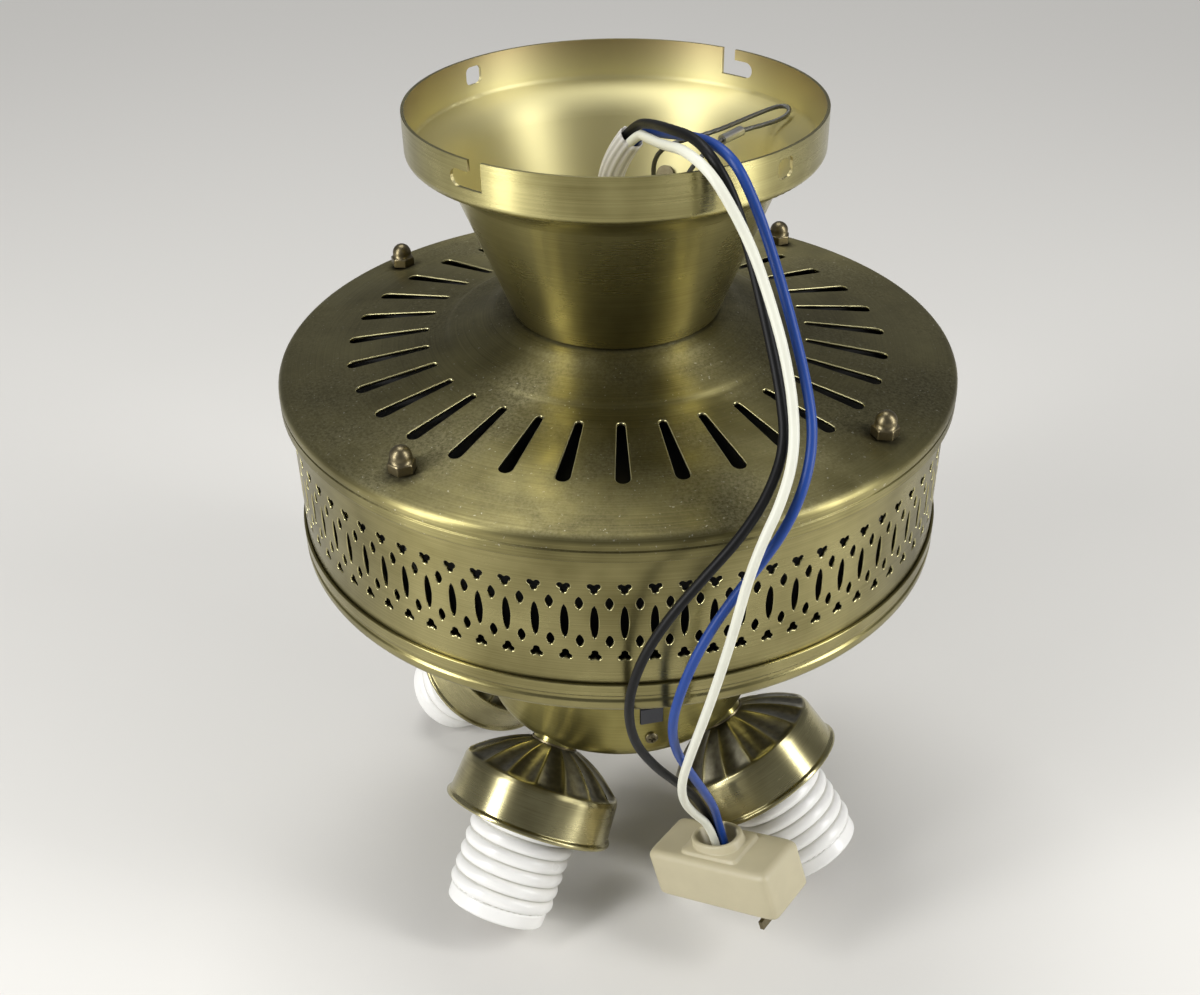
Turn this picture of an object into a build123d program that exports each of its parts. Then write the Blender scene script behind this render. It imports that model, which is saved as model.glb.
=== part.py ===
from build123d import *
import os
from math import atan, cos, degrees, pi, radians, sin, tan

# Ceiling fan with light: motor housing, switch cup and four lamp holders. Blades and glass shades are off.
# Millimetres. Origin at the centre of the canopy's open rim, where it meets the ceiling, with +Z up.
# An azimuth is measured round the axis from -Y toward +X.

# Sheet metal
sheet = 1.0
seam_gap = 0.2
thread_gap = 0.05
screw_gap = 0.1

# Canopy, a spun bell that opens upward
canopy_radius = 67.2
canopy_band = 12.2
shoulder_radius = 2.6
shoulder_turn = 71.9
ledge_length = 4.7
throat_radius = 12.0
throat_turn = 50.9
canopy_foot_radius = 35.6
canopy_height = 69.5
bayonet_azimuths = (-38.9, 141.1)
notch_width = 5.0
notch_depth = 8.9
tongue_height = 3.5
leg_reach = 7.5
screw_hole_azimuths = (47.2, -132.8)
screw_hole_size = (6.8, 6.2)
screw_hole_corner = 1.9
screw_hole_height = -5.8
gasket_radius = 33.0

# Top cover, a pressed cone with ventilation slots and a rolled lip
cover_top = -70.6
boss_radius = 40.0
boss_edge = 2.0
groove_radius = 58.0
groove_height = -77.0
groove_step = 0.9
cone_inner_radius = 62.5
cone_inner_height = -79.1
cone_outer_radius = 114.1
cone_outer_height = -86.45
slot_inner_radius = 64.9
slot_outer_radius = 93.0
slot_count = 32
slot_inner_width = 2.6
slot_outer_width = 4.6
slot_phase = 1.0
lip_corner = 3.0
lip_groove = 0.6
lip_groove_height = -90.9
lip_bottom = -95.0

# Housing fasteners
nut_circle = 104.9
nut_azimuth = 7.0
nut_phase = 45.0
nut_count = 4
stud_radius = 2.0
nut_flats = 7.0
nut_hex_height = 3.2
nut_dome_height = 7.6
nut_dome_inset = 0.3

# Pierced band with five staggered rows of holes
band_radius = 114.0
band_top = -87.7
band_bottom = -145.4
column_count = 84
column_phase = 0.8
row_heights = (-106.8, -112.05, -118.9, -125.75, -131.05)
leaf_size = 3.8
diamond_size = (2.35, 3.95)
ellipse_size = (2.25, 11.8)

# Bottom cover, a shallow pan with an open centre
pan_radius = 115.2
pan_top = -142.3
pan_floor = -153.5
pan_groove = 0.7
pan_groove_height = -147.7
pan_corner = 3.0
pan_hole_radius = 76.0

# Hollow motor shaft, which carries everything below the canopy
shaft_radius = 8.5
shaft_bore = 5.0
shaft_top = -54.0
shaft_collar_radius = 14.0
shaft_collar_height = 4.0
shaft_shoulder = -176.0
shaft_tail_radius = 7.5
shaft_bottom = -194.0
clear_hole = 0.3
washer_radius = 17.0
washer_height = 1.6
hex_flats = 24.0
hex_height = 8.0
ear_size = (12.0, 14.0)
ear_foot = 8.0
ear_corner = 2.0
ear_distance = 20.0
ear_hole_radius = 2.4
ear_hole_height = -60.2

# Motor: the core and its windings stand still, the shells turn round them
core_radius = 65.0
core_top = -110.0
core_bottom = -128.0
winding_radii = (38.0, 60.0)
winding_height = 8.0
air_gap = 0.6
rotor_radius = 98.0
rotor_wall = 10.0
rotor_top = -89.0
rotor_split = -119.0
rotor_bottom = -146.0
rotor_skin = 4.0
bearing_radius = 20.0
bearing_height = 12.0
bearing_wall = 5.0
bearing_lip = 3.0
bearing_lip_height = 2.0
running_gap = 0.03
rotor_screw_circle = 93.0
hub_radii = (33.0, 47.0)
hub_bottom = -153.0
flywheel_radii = (30.0, 63.0)
flywheel_height = 7.0
blade_hole_circle = 54.0
blade_hole_count = 8
blade_hole_radius = 2.5
flywheel_screw_circle = 40.0

# Switch cup with its lid, switch and electrical parts
cup_radius = 53.0
cup_top = -176.0
cup_bottom = -237.2
cup_corner = 9.0
lid_height = 2.0
switch_azimuth = 13.0
window_width = 9.0
window_bottom = -217.3
knob_height = 7.0
knob_travel = 4.5
slide_gap = 0.3
window_height = knob_height + knob_travel + 2 * slide_gap
switch_size = (15.0, 18.0)
switch_ears = 32.0
switch_ear_corner = 2.0
switch_depth = 9.0
switch_face = 51.4
switch_screw_heights = (-198.3, -224.5)
cup_screw_azimuths = (77.0, 197.0, 317.0)
cup_screw_height = -183.0
capacitor_size = (40.0, 20.0, 32.0)
capacitor_corner = 3.0
terminal_size = (30.0, 14.0, 12.0)

# Lamp holders: distances run along each lamp's axis from a point inside the switch cup
lamp_azimuths = (-32.0, 58.0, 148.0, -122.0)
lamp_tilt = 40.4
lamp_start_radius = 40.0
lamp_start_height = -228.8
boss_reach = 11.3
seat_radius = 8.6
nipple_radius = 5.0
nipple_bore = 3.5
nipple_span = (1.0, 40.0)
lamp_nut_flats = 12.8
lamp_nut_height = 3.6
holder_apex = 12.0
holder_crown_radius = 9.0
holder_shoulder = (30.4, 24.7)
holder_lip = (32.2, 41.6)
holder_bead = 0.9
sleeve_start = 36.0
sleeve_end = 79.8
sleeve_radius = 19.0
sleeve_bore = 14.0
sleeve_floor = 44.0
sleeve_ledge = 46.0
sleeve_ledge_radius = 12.0
rib_radius = 20.6
rib_pitch = 5.4
rib_count = 6
rib_width = 5.0
shell_radius = 13.25
shell_end = 76.0
contact_radius = 5.0

# Wires, their sheath and the safety rope inside the canopy
sheath_radius = 4.2
sheath_bore = 3.75
wire_radius = 1.5
rope_radius = 0.8
ferrule_radius = 1.7
corner_share = 0.45

# Hanging plug, turned and leaning as it hangs from its wires
plug_centre = (39.3, -80.7, -262.0)
plug_turn = (-13.3, -15.5, -37.8)
plug_size = (53.5, 24.0, 19.0)
plug_edge = 3.5
plug_round = 2.5
plug_pad = (34.0, 18.0, 1.6)
plug_collar = (17.0, 13.5)
plug_collar_height = 5.0
blade_spacing = 33.0
blade_size = (6.0, 1.6, 8.5)

# Small fasteners
screw_head_height = 2.4
small_screw_radius = 1.2
small_screw_length = 5.5
rotor_screw_reach = 16.0
flywheel_screw_reach = 6.0
flywheel_head_radius = 4.5
lid_skirt = 12.0
earth_azimuth = 156.5
earth_radius = 46.5
earth_height = -41.2
earth_head_radius = 3.2

# Lamp holder details
holder_middle = (22.8, 16.3)
first_rib = 44.1
shell_wall = 0.5
contact_height = 1.2
plug_pocket = 8.0

# Routes of the sheath, the wires and the rope, from inside the canopy outward
sheath_route = [(0, 0, -74), (0, 0, -46), (-3.5, -3, -22), (5.2, -9, -9)]
white_route = [
    (1.2, -8.3, -15.0),
    (6.9, -12.2, -6.5),
    (10.0, -26.0, -3.6),
    (14.5, -43.5, 0.4),
    (19.0, -60.0, 5.2),
    (25.5, -70.5, 3.0),
    (31.5, -75.0, -5.5),
    (37.5, -79.3, -16.5),
    (42.0, -86.0, -28.0),
    (46.0, -93.6, -40.0),
    (48.5, -101.5, -52.8),
    (48.6, -109.3, -64.0),
    (44.8, -117.3, -74.0),
    (39.7, -122.0, -84.0),
    (36.0, -124.0, -96.0),
    (33.3, -124.6, -111.0),
    (30.0, -124.2, -128.0),
    (26.2, -123.0, -146.0),
    (22.0, -118.5, -168.0),
    (19.8, -110.0, -189.0),
    (21.5, -98.5, -209.5),
    (26.0, -87.0, -227.5),
    (33.0, -77.9, -243.7),
    (35.9, -80.3, -254.0),
]
black_route = [
    (0.4, -5.7, -13.2),
    (6.1, -9.6, -4.7),
    (10.5, -23.5, 0.2),
    (15.5, -41.0, 4.6),
    (22.2, -55.5, 7.0),
    (27.0, -66.0, 4.4),
    (32.0, -69.2, -3.8),
    (35.5, -71.2, -14.0),
    (38.7, -78.2, -25.0),
    (42.2, -86.8, -38.0),
    (45.4, -95.4, -51.5),
    (46.6, -104.8, -63.5),
    (41.3, -114.4, -74.0),
    (33.6, -121.3, -83.0),
    (24.0, -125.0, -93.5),
    (13.9, -126.6, -107.0),
    (6.0, -126.6, -123.0),
    (2.3, -125.0, -141.0),
    (4.1, -119.5, -161.0),
    (10.8, -112.5, -178.5),
    (19.0, -102.5, -196.5),
    (25.0, -90.5, -214.0),
    (29.2, -80.5, -230.5),
    (33.4, -74.7, -244.3),
    (36.3, -77.1, -254.6),
]
blue_route = [
    (3.1, -5.6, -15.0),
    (8.8, -9.5, -6.5),
    (14.2, -22.0, -3.4),
    (20.4, -39.5, 2.0),
    (27.0, -55.5, 5.8),
    (32.8, -66.3, 4.0),
    (37.7, -69.8, -5.2),
    (41.9, -72.2, -15.6),
    (45.4, -78.0, -25.4),
    (49.0, -86.6, -36.6),
    (52.4, -95.6, -48.8),
    (54.2, -104.2, -60.0),
    (51.9, -112.2, -71.0),
    (46.6, -117.2, -83.0),
    (39.4, -119.2, -94.5),
    (31.4, -121.2, -106.0),
    (24.2, -123.6, -118.4),
    (18.7, -124.6, -133.6),
    (15.6, -122.8, -150.5),
    (17.4, -115.0, -169.5),
    (23.0, -105.8, -188.5),
    (29.0, -96.5, -207.5),
    (33.2, -85.8, -225.5),
    (35.9, -76.5, -243.1),
    (38.8, -78.9, -253.4),
]
rope_route = [
    (34.6, 5.6, -15.5),
    (28.7, -1.2, -17.0),
    (23.0, -5.2, -22.5),
    (20.0, -6.0, -31.0),
    (19.5, -4.8, -41.0),
    (20.0, -3.6, -51.0),
    (20.0, -3.2, -60.2),
    (20.0, 3.2, -60.2),
    (19.5, 4.2, -51.0),
    (16.5, 6.0, -40.5),
    (12.5, 6.5, -30.0),
    (12.5, 4.6, -21.0),
    (17.0, 2.0, -15.5),
    (25.5, 1.6, -13.2),
    (34.2, 8.4, -13.0),
    (42.0, 16.2, -12.6),
    (49.5, 22.6, -11.9),
    (54.8, 26.0, -11.3),
    (58.2, 24.8, -11.2),
    (57.6, 21.6, -12.8),
    (53.6, 19.0, -14.0),
    (47.5, 16.4, -14.8),
    (41.2, 12.5, -15.0),
]

os.makedirs("parts", exist_ok=True)


def finish(builder, label):
    """Names a finished piece and writes it to its own file."""
    builder.part.label = label
    export_step(builder.part, f"parts/{label}.step")


def outward(azimuth):
    """Level unit vector that leaves the axis at an azimuth."""
    return Vector(sin(radians(azimuth)), -cos(radians(azimuth)), 0)


def sideways(azimuth):
    """Level unit vector along the direction in which the azimuth grows."""
    return Vector(cos(radians(azimuth)), sin(radians(azimuth)), 0)


def section(azimuth):
    """Plane through the axis at an azimuth: x is the radius and y the height."""
    return Plane(origin=(0, 0, 0), x_dir=outward(azimuth), z_dir=-sideways(azimuth))


def upright(azimuth, radius, height):
    """Plane that faces outward, with its x round the axis and its y up."""
    origin = outward(azimuth) * radius + Vector(0, 0, height)
    return Plane(origin=origin, x_dir=sideways(azimuth), z_dir=outward(azimuth))


def lamp_direction(azimuth):
    """Unit vector along a lamp's axis, outward and down."""
    return outward(azimuth) * sin(radians(lamp_tilt)) - Vector(0, 0, cos(radians(lamp_tilt)))


def lamp_origin(azimuth):
    """The point on a lamp's axis that its distances start from."""
    return outward(azimuth) * lamp_start_radius + Vector(0, 0, lamp_start_height)


def lamp_axis(azimuth):
    """A lamp's axis, for turning its pieces."""
    return Axis(lamp_origin(azimuth), lamp_direction(azimuth))


def lamp_section(azimuth):
    """Plane through a lamp's axis: x is the radius from it and y the distance along it."""
    normal = sideways(azimuth).cross(lamp_direction(azimuth))
    return Plane(origin=lamp_origin(azimuth), x_dir=sideways(azimuth), z_dir=normal)


def lamp_plane(azimuth, distance):
    """Plane square to a lamp's axis at a distance along it."""
    origin = lamp_origin(azimuth) + lamp_direction(azimuth) * distance
    return Plane(origin=origin, x_dir=sideways(azimuth), z_dir=lamp_direction(azimuth))


def polar(azimuth):
    """The angle of an azimuth in a level sketch."""
    return azimuth - 90


def corner_radii(route):
    """The largest arcs that the two runs at each corner of a route allow."""
    points = [Vector(*point) for point in route]
    radii = []
    for before, corner, after in zip(points, points[1:], points[2:]):
        turn = (corner - before).get_angle(after - corner)
        shorter = min((corner - before).length, (after - corner).length)
        radii.append(corner_share * shorter / tan(radians(turn / 2)))
    return radii


# Canopy with its bayonet slots, screw holes and shaft hole
with BuildPart() as canopy:
    with BuildSketch(Plane.XZ):
        with BuildLine():
            canopy_side = Line((canopy_radius, 0), (canopy_radius, -canopy_band))
            canopy_shoulder = JernArc(canopy_side @ 1, canopy_side % 1, shoulder_radius, -shoulder_turn)
            canopy_ledge = PolarLine(canopy_shoulder @ 1, ledge_length, direction=canopy_shoulder % 1)
            canopy_throat = JernArc(canopy_ledge @ 1, canopy_ledge % 1, throat_radius, throat_turn)
            canopy_cone = Line(canopy_throat @ 1, (canopy_foot_radius, -canopy_height))
            Line(canopy_cone @ 1, (shaft_radius + clear_hole, -canopy_height))
            offset(amount=sheet, side=Side.RIGHT)
        make_face()
    revolve(axis=Axis.Z)
    for azimuth in bayonet_azimuths:
        with BuildSketch(upright(azimuth, canopy_radius, 0)):
            with BuildLine():
                leg_end = (notch_depth - tongue_height) / 2
                Polyline(
                    (leg_end - leg_reach, -tongue_height),
                    (0, -tongue_height),
                    (0, notch_width),
                    (notch_width, notch_width),
                    (notch_width, -notch_depth),
                    (leg_end - leg_reach, -notch_depth),
                )
                ThreePointArc(
                    (leg_end - leg_reach, -notch_depth),
                    (-leg_reach, -notch_depth + leg_end),
                    (leg_end - leg_reach, -tongue_height),
                )
            make_face()
        extrude(amount=4 * sheet, both=True, mode=Mode.SUBTRACT)
    for azimuth in screw_hole_azimuths:
        with BuildSketch(upright(azimuth, canopy_radius, screw_hole_height)):
            RectangleRounded(screw_hole_size[0], screw_hole_size[1], screw_hole_corner)
        extrude(amount=3 * sheet, both=True, mode=Mode.SUBTRACT)
    cone_drop = canopy_cone % 1
    screw_normal = outward(earth_azimuth) * cone_drop.Y - Vector(0, 0, cone_drop.X)
    screw_foot = outward(earth_azimuth) * earth_radius + Vector(0, 0, earth_height)
    screw_plane = Plane(origin=screw_foot, z_dir=screw_normal)
    with BuildSketch(screw_plane):
        Circle(stud_radius + clear_hole)
    extrude(amount=3 * sheet, both=True, mode=Mode.SUBTRACT)
finish(canopy, "canopy")

# Gasket between the canopy's foot and the top cover
with BuildPart() as neck_gasket:
    with BuildSketch(Plane.XY.offset(cover_top)):
        Circle(gasket_radius)
        Circle(shaft_radius + clear_hole, mode=Mode.SUBTRACT)
    extrude(amount=-canopy_height - cover_top)
finish(neck_gasket, "neck_gasket")

# Washer inside the canopy, with an upturned ear that holds the safety rope
canopy_floor = sheet - canopy_height
with BuildPart() as anchor_washer:
    with BuildSketch(Plane.XY.offset(canopy_floor)):
        Circle(washer_radius)
        with Locations((ear_distance, 0)):
            Rectangle(ear_size[0], ear_foot)
        Circle(shaft_radius + clear_hole, mode=Mode.SUBTRACT)
    extrude(amount=washer_height)
    with BuildSketch(Plane.XZ):
        with Locations((ear_distance, canopy_floor + ear_size[1] / 2)):
            RectangleRounded(ear_size[0], ear_size[1], ear_corner)
        with Locations((ear_distance, ear_hole_height)):
            Circle(ear_hole_radius, mode=Mode.SUBTRACT)
    extrude(amount=washer_height / 2, both=True)
finish(anchor_washer, "anchor_washer")

# Nut that clamps the canopy on the shaft
with BuildPart() as canopy_nut:
    with BuildSketch(Plane.XY.offset(canopy_floor + washer_height)):
        RegularPolygon(hex_flats / 2, 6, major_radius=False)
        Circle(shaft_radius, mode=Mode.SUBTRACT)
    extrude(amount=hex_height)
finish(canopy_nut, "canopy_nut")

# Screw for the earth lead, in the canopy's cone
with BuildPart() as earth_screw:
    with BuildSketch(screw_plane.offset(sheet + 2 * seam_gap)):
        Circle(earth_head_radius)
    extrude(amount=washer_height)
    with BuildSketch(screw_plane.offset(sheet + 2 * seam_gap)):
        Circle(stud_radius)
    extrude(amount=-3 * sheet)
finish(earth_screw, "earth_screw")

# One ventilation slot, wider outside than inside
with BuildSketch() as vent_slot:
    with Locations((slot_inner_radius + slot_inner_width / 2, 0)):
        Circle(slot_inner_width / 2)
    with Locations((slot_outer_radius - slot_outer_width / 2, 0)):
        Circle(slot_outer_width / 2)
    make_hull()

# Top cover
cone_slope = (cone_outer_height - cone_inner_height) / (cone_outer_radius - cone_inner_radius)
lip_turn = 90 + degrees(atan(cone_slope))
nut_seat = cone_inner_height + cone_slope * (nut_circle - nut_flats / 2 - cone_inner_radius) + seam_gap
nut_start = polar(nut_azimuth + nut_phase)
between_slots = slot_phase + 180 / slot_count
with BuildPart() as top_cover:
    with BuildSketch(section(between_slots)):
        with BuildLine():
            cover_cone = Polyline(
                (shaft_radius + clear_hole, cover_top),
                (boss_radius, cover_top),
                (boss_radius + boss_edge, cover_top - boss_edge),
                (groove_radius, groove_height),
                (groove_radius + groove_step, groove_height - groove_step),
                (cone_inner_radius, cone_inner_height),
                (cone_outer_radius, cone_outer_height),
            )
            cover_lip = JernArc(cover_cone @ 1, cover_cone % 1, lip_corner, -lip_turn)
            lip_radius = (cover_lip @ 1).X
            Polyline(
                cover_lip @ 1,
                (lip_radius, lip_groove_height + lip_groove),
                (lip_radius - lip_groove, lip_groove_height),
                (lip_radius, lip_groove_height - lip_groove),
                (lip_radius, lip_bottom),
            )
            offset(amount=sheet, side=Side.RIGHT, kind=Kind.INTERSECTION)
        make_face()
    revolve(axis=Axis.Z)
    with BuildSketch(Plane.XY.offset(cover_top)):
        with PolarLocations(0, slot_count, start_angle=polar(slot_phase)):
            add(vent_slot.sketch)
        with PolarLocations(nut_circle, nut_count, start_angle=nut_start):
            Circle(stud_radius + clear_hole)
    extrude(amount=lip_bottom - cover_top, mode=Mode.SUBTRACT)
finish(top_cover, "top_cover")

# Acorn nuts on the housing screws
with BuildPart() as acorn_nuts:
    with BuildSketch(Plane.XY.offset(nut_seat)):
        with PolarLocations(nut_circle, nut_count, start_angle=nut_start):
            RegularPolygon(nut_flats / 2, 6, major_radius=False)
    extrude(amount=nut_hex_height)
    with BuildSketch(Plane.XY.offset(nut_seat + nut_hex_height)):
        with PolarLocations(nut_circle, nut_count, start_angle=nut_start):
            Circle(nut_flats / 2 - nut_dome_inset)
    extrude(amount=nut_dome_height - nut_hex_height)
    fillet(acorn_nuts.edges().group_by(Axis.Z)[-1], nut_flats / 2 - 2 * nut_dome_inset)
    with BuildSketch(Plane.XY.offset(nut_seat)):
        with PolarLocations(nut_circle, nut_count, start_angle=nut_start):
            Circle(stud_radius + thread_gap)
    extrude(amount=nut_hex_height + sheet, mode=Mode.SUBTRACT)
finish(acorn_nuts, "acorn_nuts")

# Long screws that draw the two covers together round the band
with BuildPart() as housing_screws:
    with BuildSketch(Plane.XY.offset(pan_floor)):
        with PolarLocations(nut_circle, nut_count, start_angle=nut_start):
            Circle(2 * stud_radius)
    extrude(amount=-screw_head_height)
    with BuildSketch(Plane.XY.offset(pan_floor)):
        with PolarLocations(nut_circle, nut_count, start_angle=nut_start):
            Circle(stud_radius)
    extrude(amount=nut_seat + nut_hex_height - pan_floor)
finish(housing_screws, "housing_screws")

# Pierced band: leaves, diamonds and ellipses in staggered rows
pitch = 360 / column_count
columns = [column_phase + pitch * index for index in range(column_count)]
between = [azimuth + pitch / 2 for azimuth in columns]
with BuildPart() as pierced_band:
    with BuildSketch(Plane(origin=(0, 0, band_bottom), x_dir=outward(column_phase + pitch / 4))):
        Circle(band_radius)
        Circle(band_radius - sheet, mode=Mode.SUBTRACT)
    extrude(amount=band_top - band_bottom)
    with BuildSketch(*[upright(azimuth, band_radius, row_heights[0]) for azimuth in columns]):
        RegularPolygon(leaf_size / 2, 3, rotation=-90)
    with BuildSketch(*[upright(azimuth, band_radius, row_heights[4]) for azimuth in columns]):
        RegularPolygon(leaf_size / 2, 3, rotation=90)
    for height in (row_heights[1], row_heights[3]):
        with BuildSketch(*[upright(azimuth, band_radius, height) for azimuth in between]):
            half_wide = diamond_size[0] / 2
            half_tall = diamond_size[1] / 2
            Polygon((half_wide, 0), (0, half_tall), (-half_wide, 0), (0, -half_tall))
    with BuildSketch(*[upright(azimuth, band_radius, row_heights[2]) for azimuth in columns]):
        half_wide = ellipse_size[0] / 2
        half_tall = ellipse_size[1] / 2
        Polygon(
            (0, half_tall),
            (-half_wide, half_tall / 2),
            (-half_wide, -half_tall / 2),
            (0, -half_tall),
            (half_wide, -half_tall / 2),
            (half_wide, half_tall / 2),
        )
    extrude(amount=2 * sheet, both=True, mode=Mode.SUBTRACT)
finish(pierced_band, "pierced_band")

# Bottom cover with a pressed groove and an open centre for the rotor
with BuildPart() as bottom_cover:
    with BuildSketch(Plane.XZ):
        with BuildLine():
            Polyline(
                (pan_radius, pan_top),
                (pan_radius, pan_groove_height + 2 * pan_groove),
                (pan_radius - pan_groove, pan_groove_height + pan_groove),
                (pan_radius - pan_groove, pan_groove_height - pan_groove),
                (pan_radius, pan_groove_height - 2 * pan_groove),
                (pan_radius, pan_floor + pan_corner),
            )
            pan_round = JernArc((pan_radius, pan_floor + pan_corner), (0, -1), pan_corner, -90)
            Polyline(
                pan_round @ 1,
                (pan_hole_radius, pan_floor),
                (pan_hole_radius, pan_floor + pan_corner),
            )
            offset(amount=sheet, side=Side.RIGHT, kind=Kind.INTERSECTION)
        make_face()
    revolve(axis=Axis.Z)
    with BuildSketch(Plane.XY.offset(pan_floor)):
        with PolarLocations(nut_circle, nut_count, start_angle=nut_start):
            Circle(stud_radius + clear_hole)
    extrude(amount=sheet, mode=Mode.SUBTRACT)
finish(bottom_cover, "bottom_cover")

# Hollow shaft with a collar under the top cover and a thinner tail in the switch cup
with BuildPart() as motor_shaft:
    with BuildSketch(Plane.XZ):
        with BuildLine():
            collar_top = cover_top - sheet
            Polyline(
                (shaft_bore, shaft_top),
                (shaft_radius, shaft_top),
                (shaft_radius, collar_top),
                (shaft_collar_radius, collar_top),
                (shaft_collar_radius, collar_top - shaft_collar_height),
                (shaft_radius, collar_top - shaft_collar_height),
                (shaft_radius, shaft_shoulder),
                (shaft_tail_radius, shaft_shoulder),
                (shaft_tail_radius, shaft_bottom),
                (shaft_bore, shaft_bottom),
                close=True,
            )
        make_face()
    revolve(axis=Axis.Z)
finish(motor_shaft, "motor_shaft")

# Laminated core on the shaft
with BuildPart() as stator_core:
    with BuildSketch(Plane.XY.offset(core_bottom)):
        Circle(core_radius)
        Circle(shaft_radius, mode=Mode.SUBTRACT)
    extrude(amount=core_top - core_bottom)
finish(stator_core, "stator_core")

# Winding heads above and below the core
with BuildPart() as stator_windings:
    for level, height in ((core_top, winding_height), (core_bottom, -winding_height)):
        with BuildSketch(Plane.XY.offset(level)):
            Circle(winding_radii[1])
            Circle(winding_radii[0], mode=Mode.SUBTRACT)
        extrude(amount=height)
finish(stator_windings, "stator_windings")


def bearing(label, bottom):
    """A ball bearing that runs on the shaft, as one ring."""
    with BuildPart() as ring:
        with BuildSketch(Plane.XY.offset(bottom)):
            Circle(bearing_radius)
            Circle(shaft_radius + running_gap, mode=Mode.SUBTRACT)
        extrude(amount=bearing_height)
    finish(ring, label)


# Rotor: two cast shells, each with a bearing seat, closed round the cage ring
upper_bearing_bottom = rotor_top - 2 * rotor_skin
lower_bearing_bottom = rotor_bottom - bearing_wall / 2
seat_wall = bearing_radius + bearing_wall
seat_lip = bearing_radius - bearing_lip
bearing("upper_bearing", upper_bearing_bottom)
bearing("lower_bearing", lower_bearing_bottom)
with BuildPart() as rotor_upper_shell:
    with BuildSketch(Plane.XZ):
        with BuildLine():
            Polyline(
                (bearing_radius + running_gap, upper_bearing_bottom + bearing_height),
                (seat_wall, upper_bearing_bottom + bearing_height),
                (seat_wall, rotor_top),
                (rotor_radius, rotor_top),
                (rotor_radius, rotor_split),
                (rotor_radius - rotor_wall, rotor_split),
                (rotor_radius - rotor_wall, rotor_top - rotor_skin),
                (seat_wall, rotor_top - rotor_skin),
                (seat_wall, upper_bearing_bottom - bearing_lip_height),
                (seat_lip, upper_bearing_bottom - bearing_lip_height),
                (seat_lip, upper_bearing_bottom),
                (bearing_radius + running_gap, upper_bearing_bottom),
                close=True,
            )
        make_face()
    revolve(axis=Axis.Z)
    with BuildSketch(Plane.XY.offset(rotor_split)):
        with PolarLocations(rotor_screw_circle, nut_count):
            Circle(stud_radius + screw_gap)
    extrude(amount=rotor_top - rotor_split, mode=Mode.SUBTRACT)
finish(rotor_upper_shell, "rotor_upper_shell")

with BuildPart() as rotor_lower_shell:
    with BuildSketch(Plane.XZ):
        with BuildLine():
            lower_bearing_top = lower_bearing_bottom + bearing_height
            Polyline(
                (rotor_radius - rotor_wall, rotor_split),
                (rotor_radius, rotor_split),
                (rotor_radius, rotor_bottom),
                (hub_radii[1], rotor_bottom),
                (hub_radii[1], hub_bottom),
                (hub_radii[0], hub_bottom),
                (hub_radii[0], rotor_bottom),
                (seat_wall, rotor_bottom),
                (seat_wall, lower_bearing_bottom),
                (bearing_radius + running_gap, lower_bearing_bottom),
                (bearing_radius + running_gap, lower_bearing_top),
                (seat_lip, lower_bearing_top),
                (seat_lip, lower_bearing_top + bearing_lip_height),
                (seat_wall, lower_bearing_top + bearing_lip_height),
                (seat_wall, rotor_bottom + rotor_skin),
                (rotor_radius - rotor_wall, rotor_bottom + rotor_skin),
                close=True,
            )
        make_face()
    revolve(axis=Axis.Z)
    with BuildSketch(Plane.XY.offset(rotor_split)):
        with PolarLocations(rotor_screw_circle, nut_count):
            Circle(stud_radius + screw_gap)
    extrude(amount=-rotor_screw_reach, mode=Mode.SUBTRACT)
    with BuildSketch(Plane.XY.offset(hub_bottom)):
        with PolarLocations(flywheel_screw_circle, nut_count):
            Circle(blade_hole_radius + screw_gap)
    extrude(amount=flywheel_screw_reach, mode=Mode.SUBTRACT)
finish(rotor_lower_shell, "rotor_lower_shell")

with BuildPart() as rotor_ring:
    with BuildSketch(Plane.XY.offset(core_bottom)):
        Circle(rotor_radius - rotor_wall - running_gap)
        Circle(core_radius + air_gap, mode=Mode.SUBTRACT)
    extrude(amount=core_top - core_bottom)
finish(rotor_ring, "rotor_ring")

with BuildPart() as rotor_screws:
    with BuildSketch(Plane.XY.offset(rotor_top)):
        with PolarLocations(rotor_screw_circle, nut_count):
            Circle(2 * stud_radius)
    extrude(amount=screw_head_height)
    with BuildSketch(Plane.XY.offset(rotor_top)):
        with PolarLocations(rotor_screw_circle, nut_count):
            Circle(stud_radius)
    extrude(amount=rotor_split - rotor_top - rotor_screw_reach + sheet)
finish(rotor_screws, "rotor_screws")

# Flywheel that the blade arms bolt to
with BuildPart() as blade_flywheel:
    with BuildSketch(Plane.XY.offset(hub_bottom)):
        Circle(flywheel_radii[1])
        Circle(flywheel_radii[0], mode=Mode.SUBTRACT)
        with PolarLocations(blade_hole_circle, blade_hole_count):
            Circle(blade_hole_radius, mode=Mode.SUBTRACT)
        with PolarLocations(flywheel_screw_circle, nut_count):
            Circle(blade_hole_radius + screw_gap, mode=Mode.SUBTRACT)
    extrude(amount=-flywheel_height)
finish(blade_flywheel, "blade_flywheel")

with BuildPart() as flywheel_screws:
    with BuildSketch(Plane.XY.offset(hub_bottom - flywheel_height)):
        with PolarLocations(flywheel_screw_circle, nut_count):
            Circle(flywheel_head_radius)
    extrude(amount=-screw_head_height)
    with BuildSketch(Plane.XY.offset(hub_bottom - flywheel_height)):
        with PolarLocations(flywheel_screw_circle, nut_count):
            Circle(blade_hole_radius)
    extrude(amount=flywheel_height + flywheel_screw_reach - sheet)
finish(flywheel_screws, "flywheel_screws")

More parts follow.
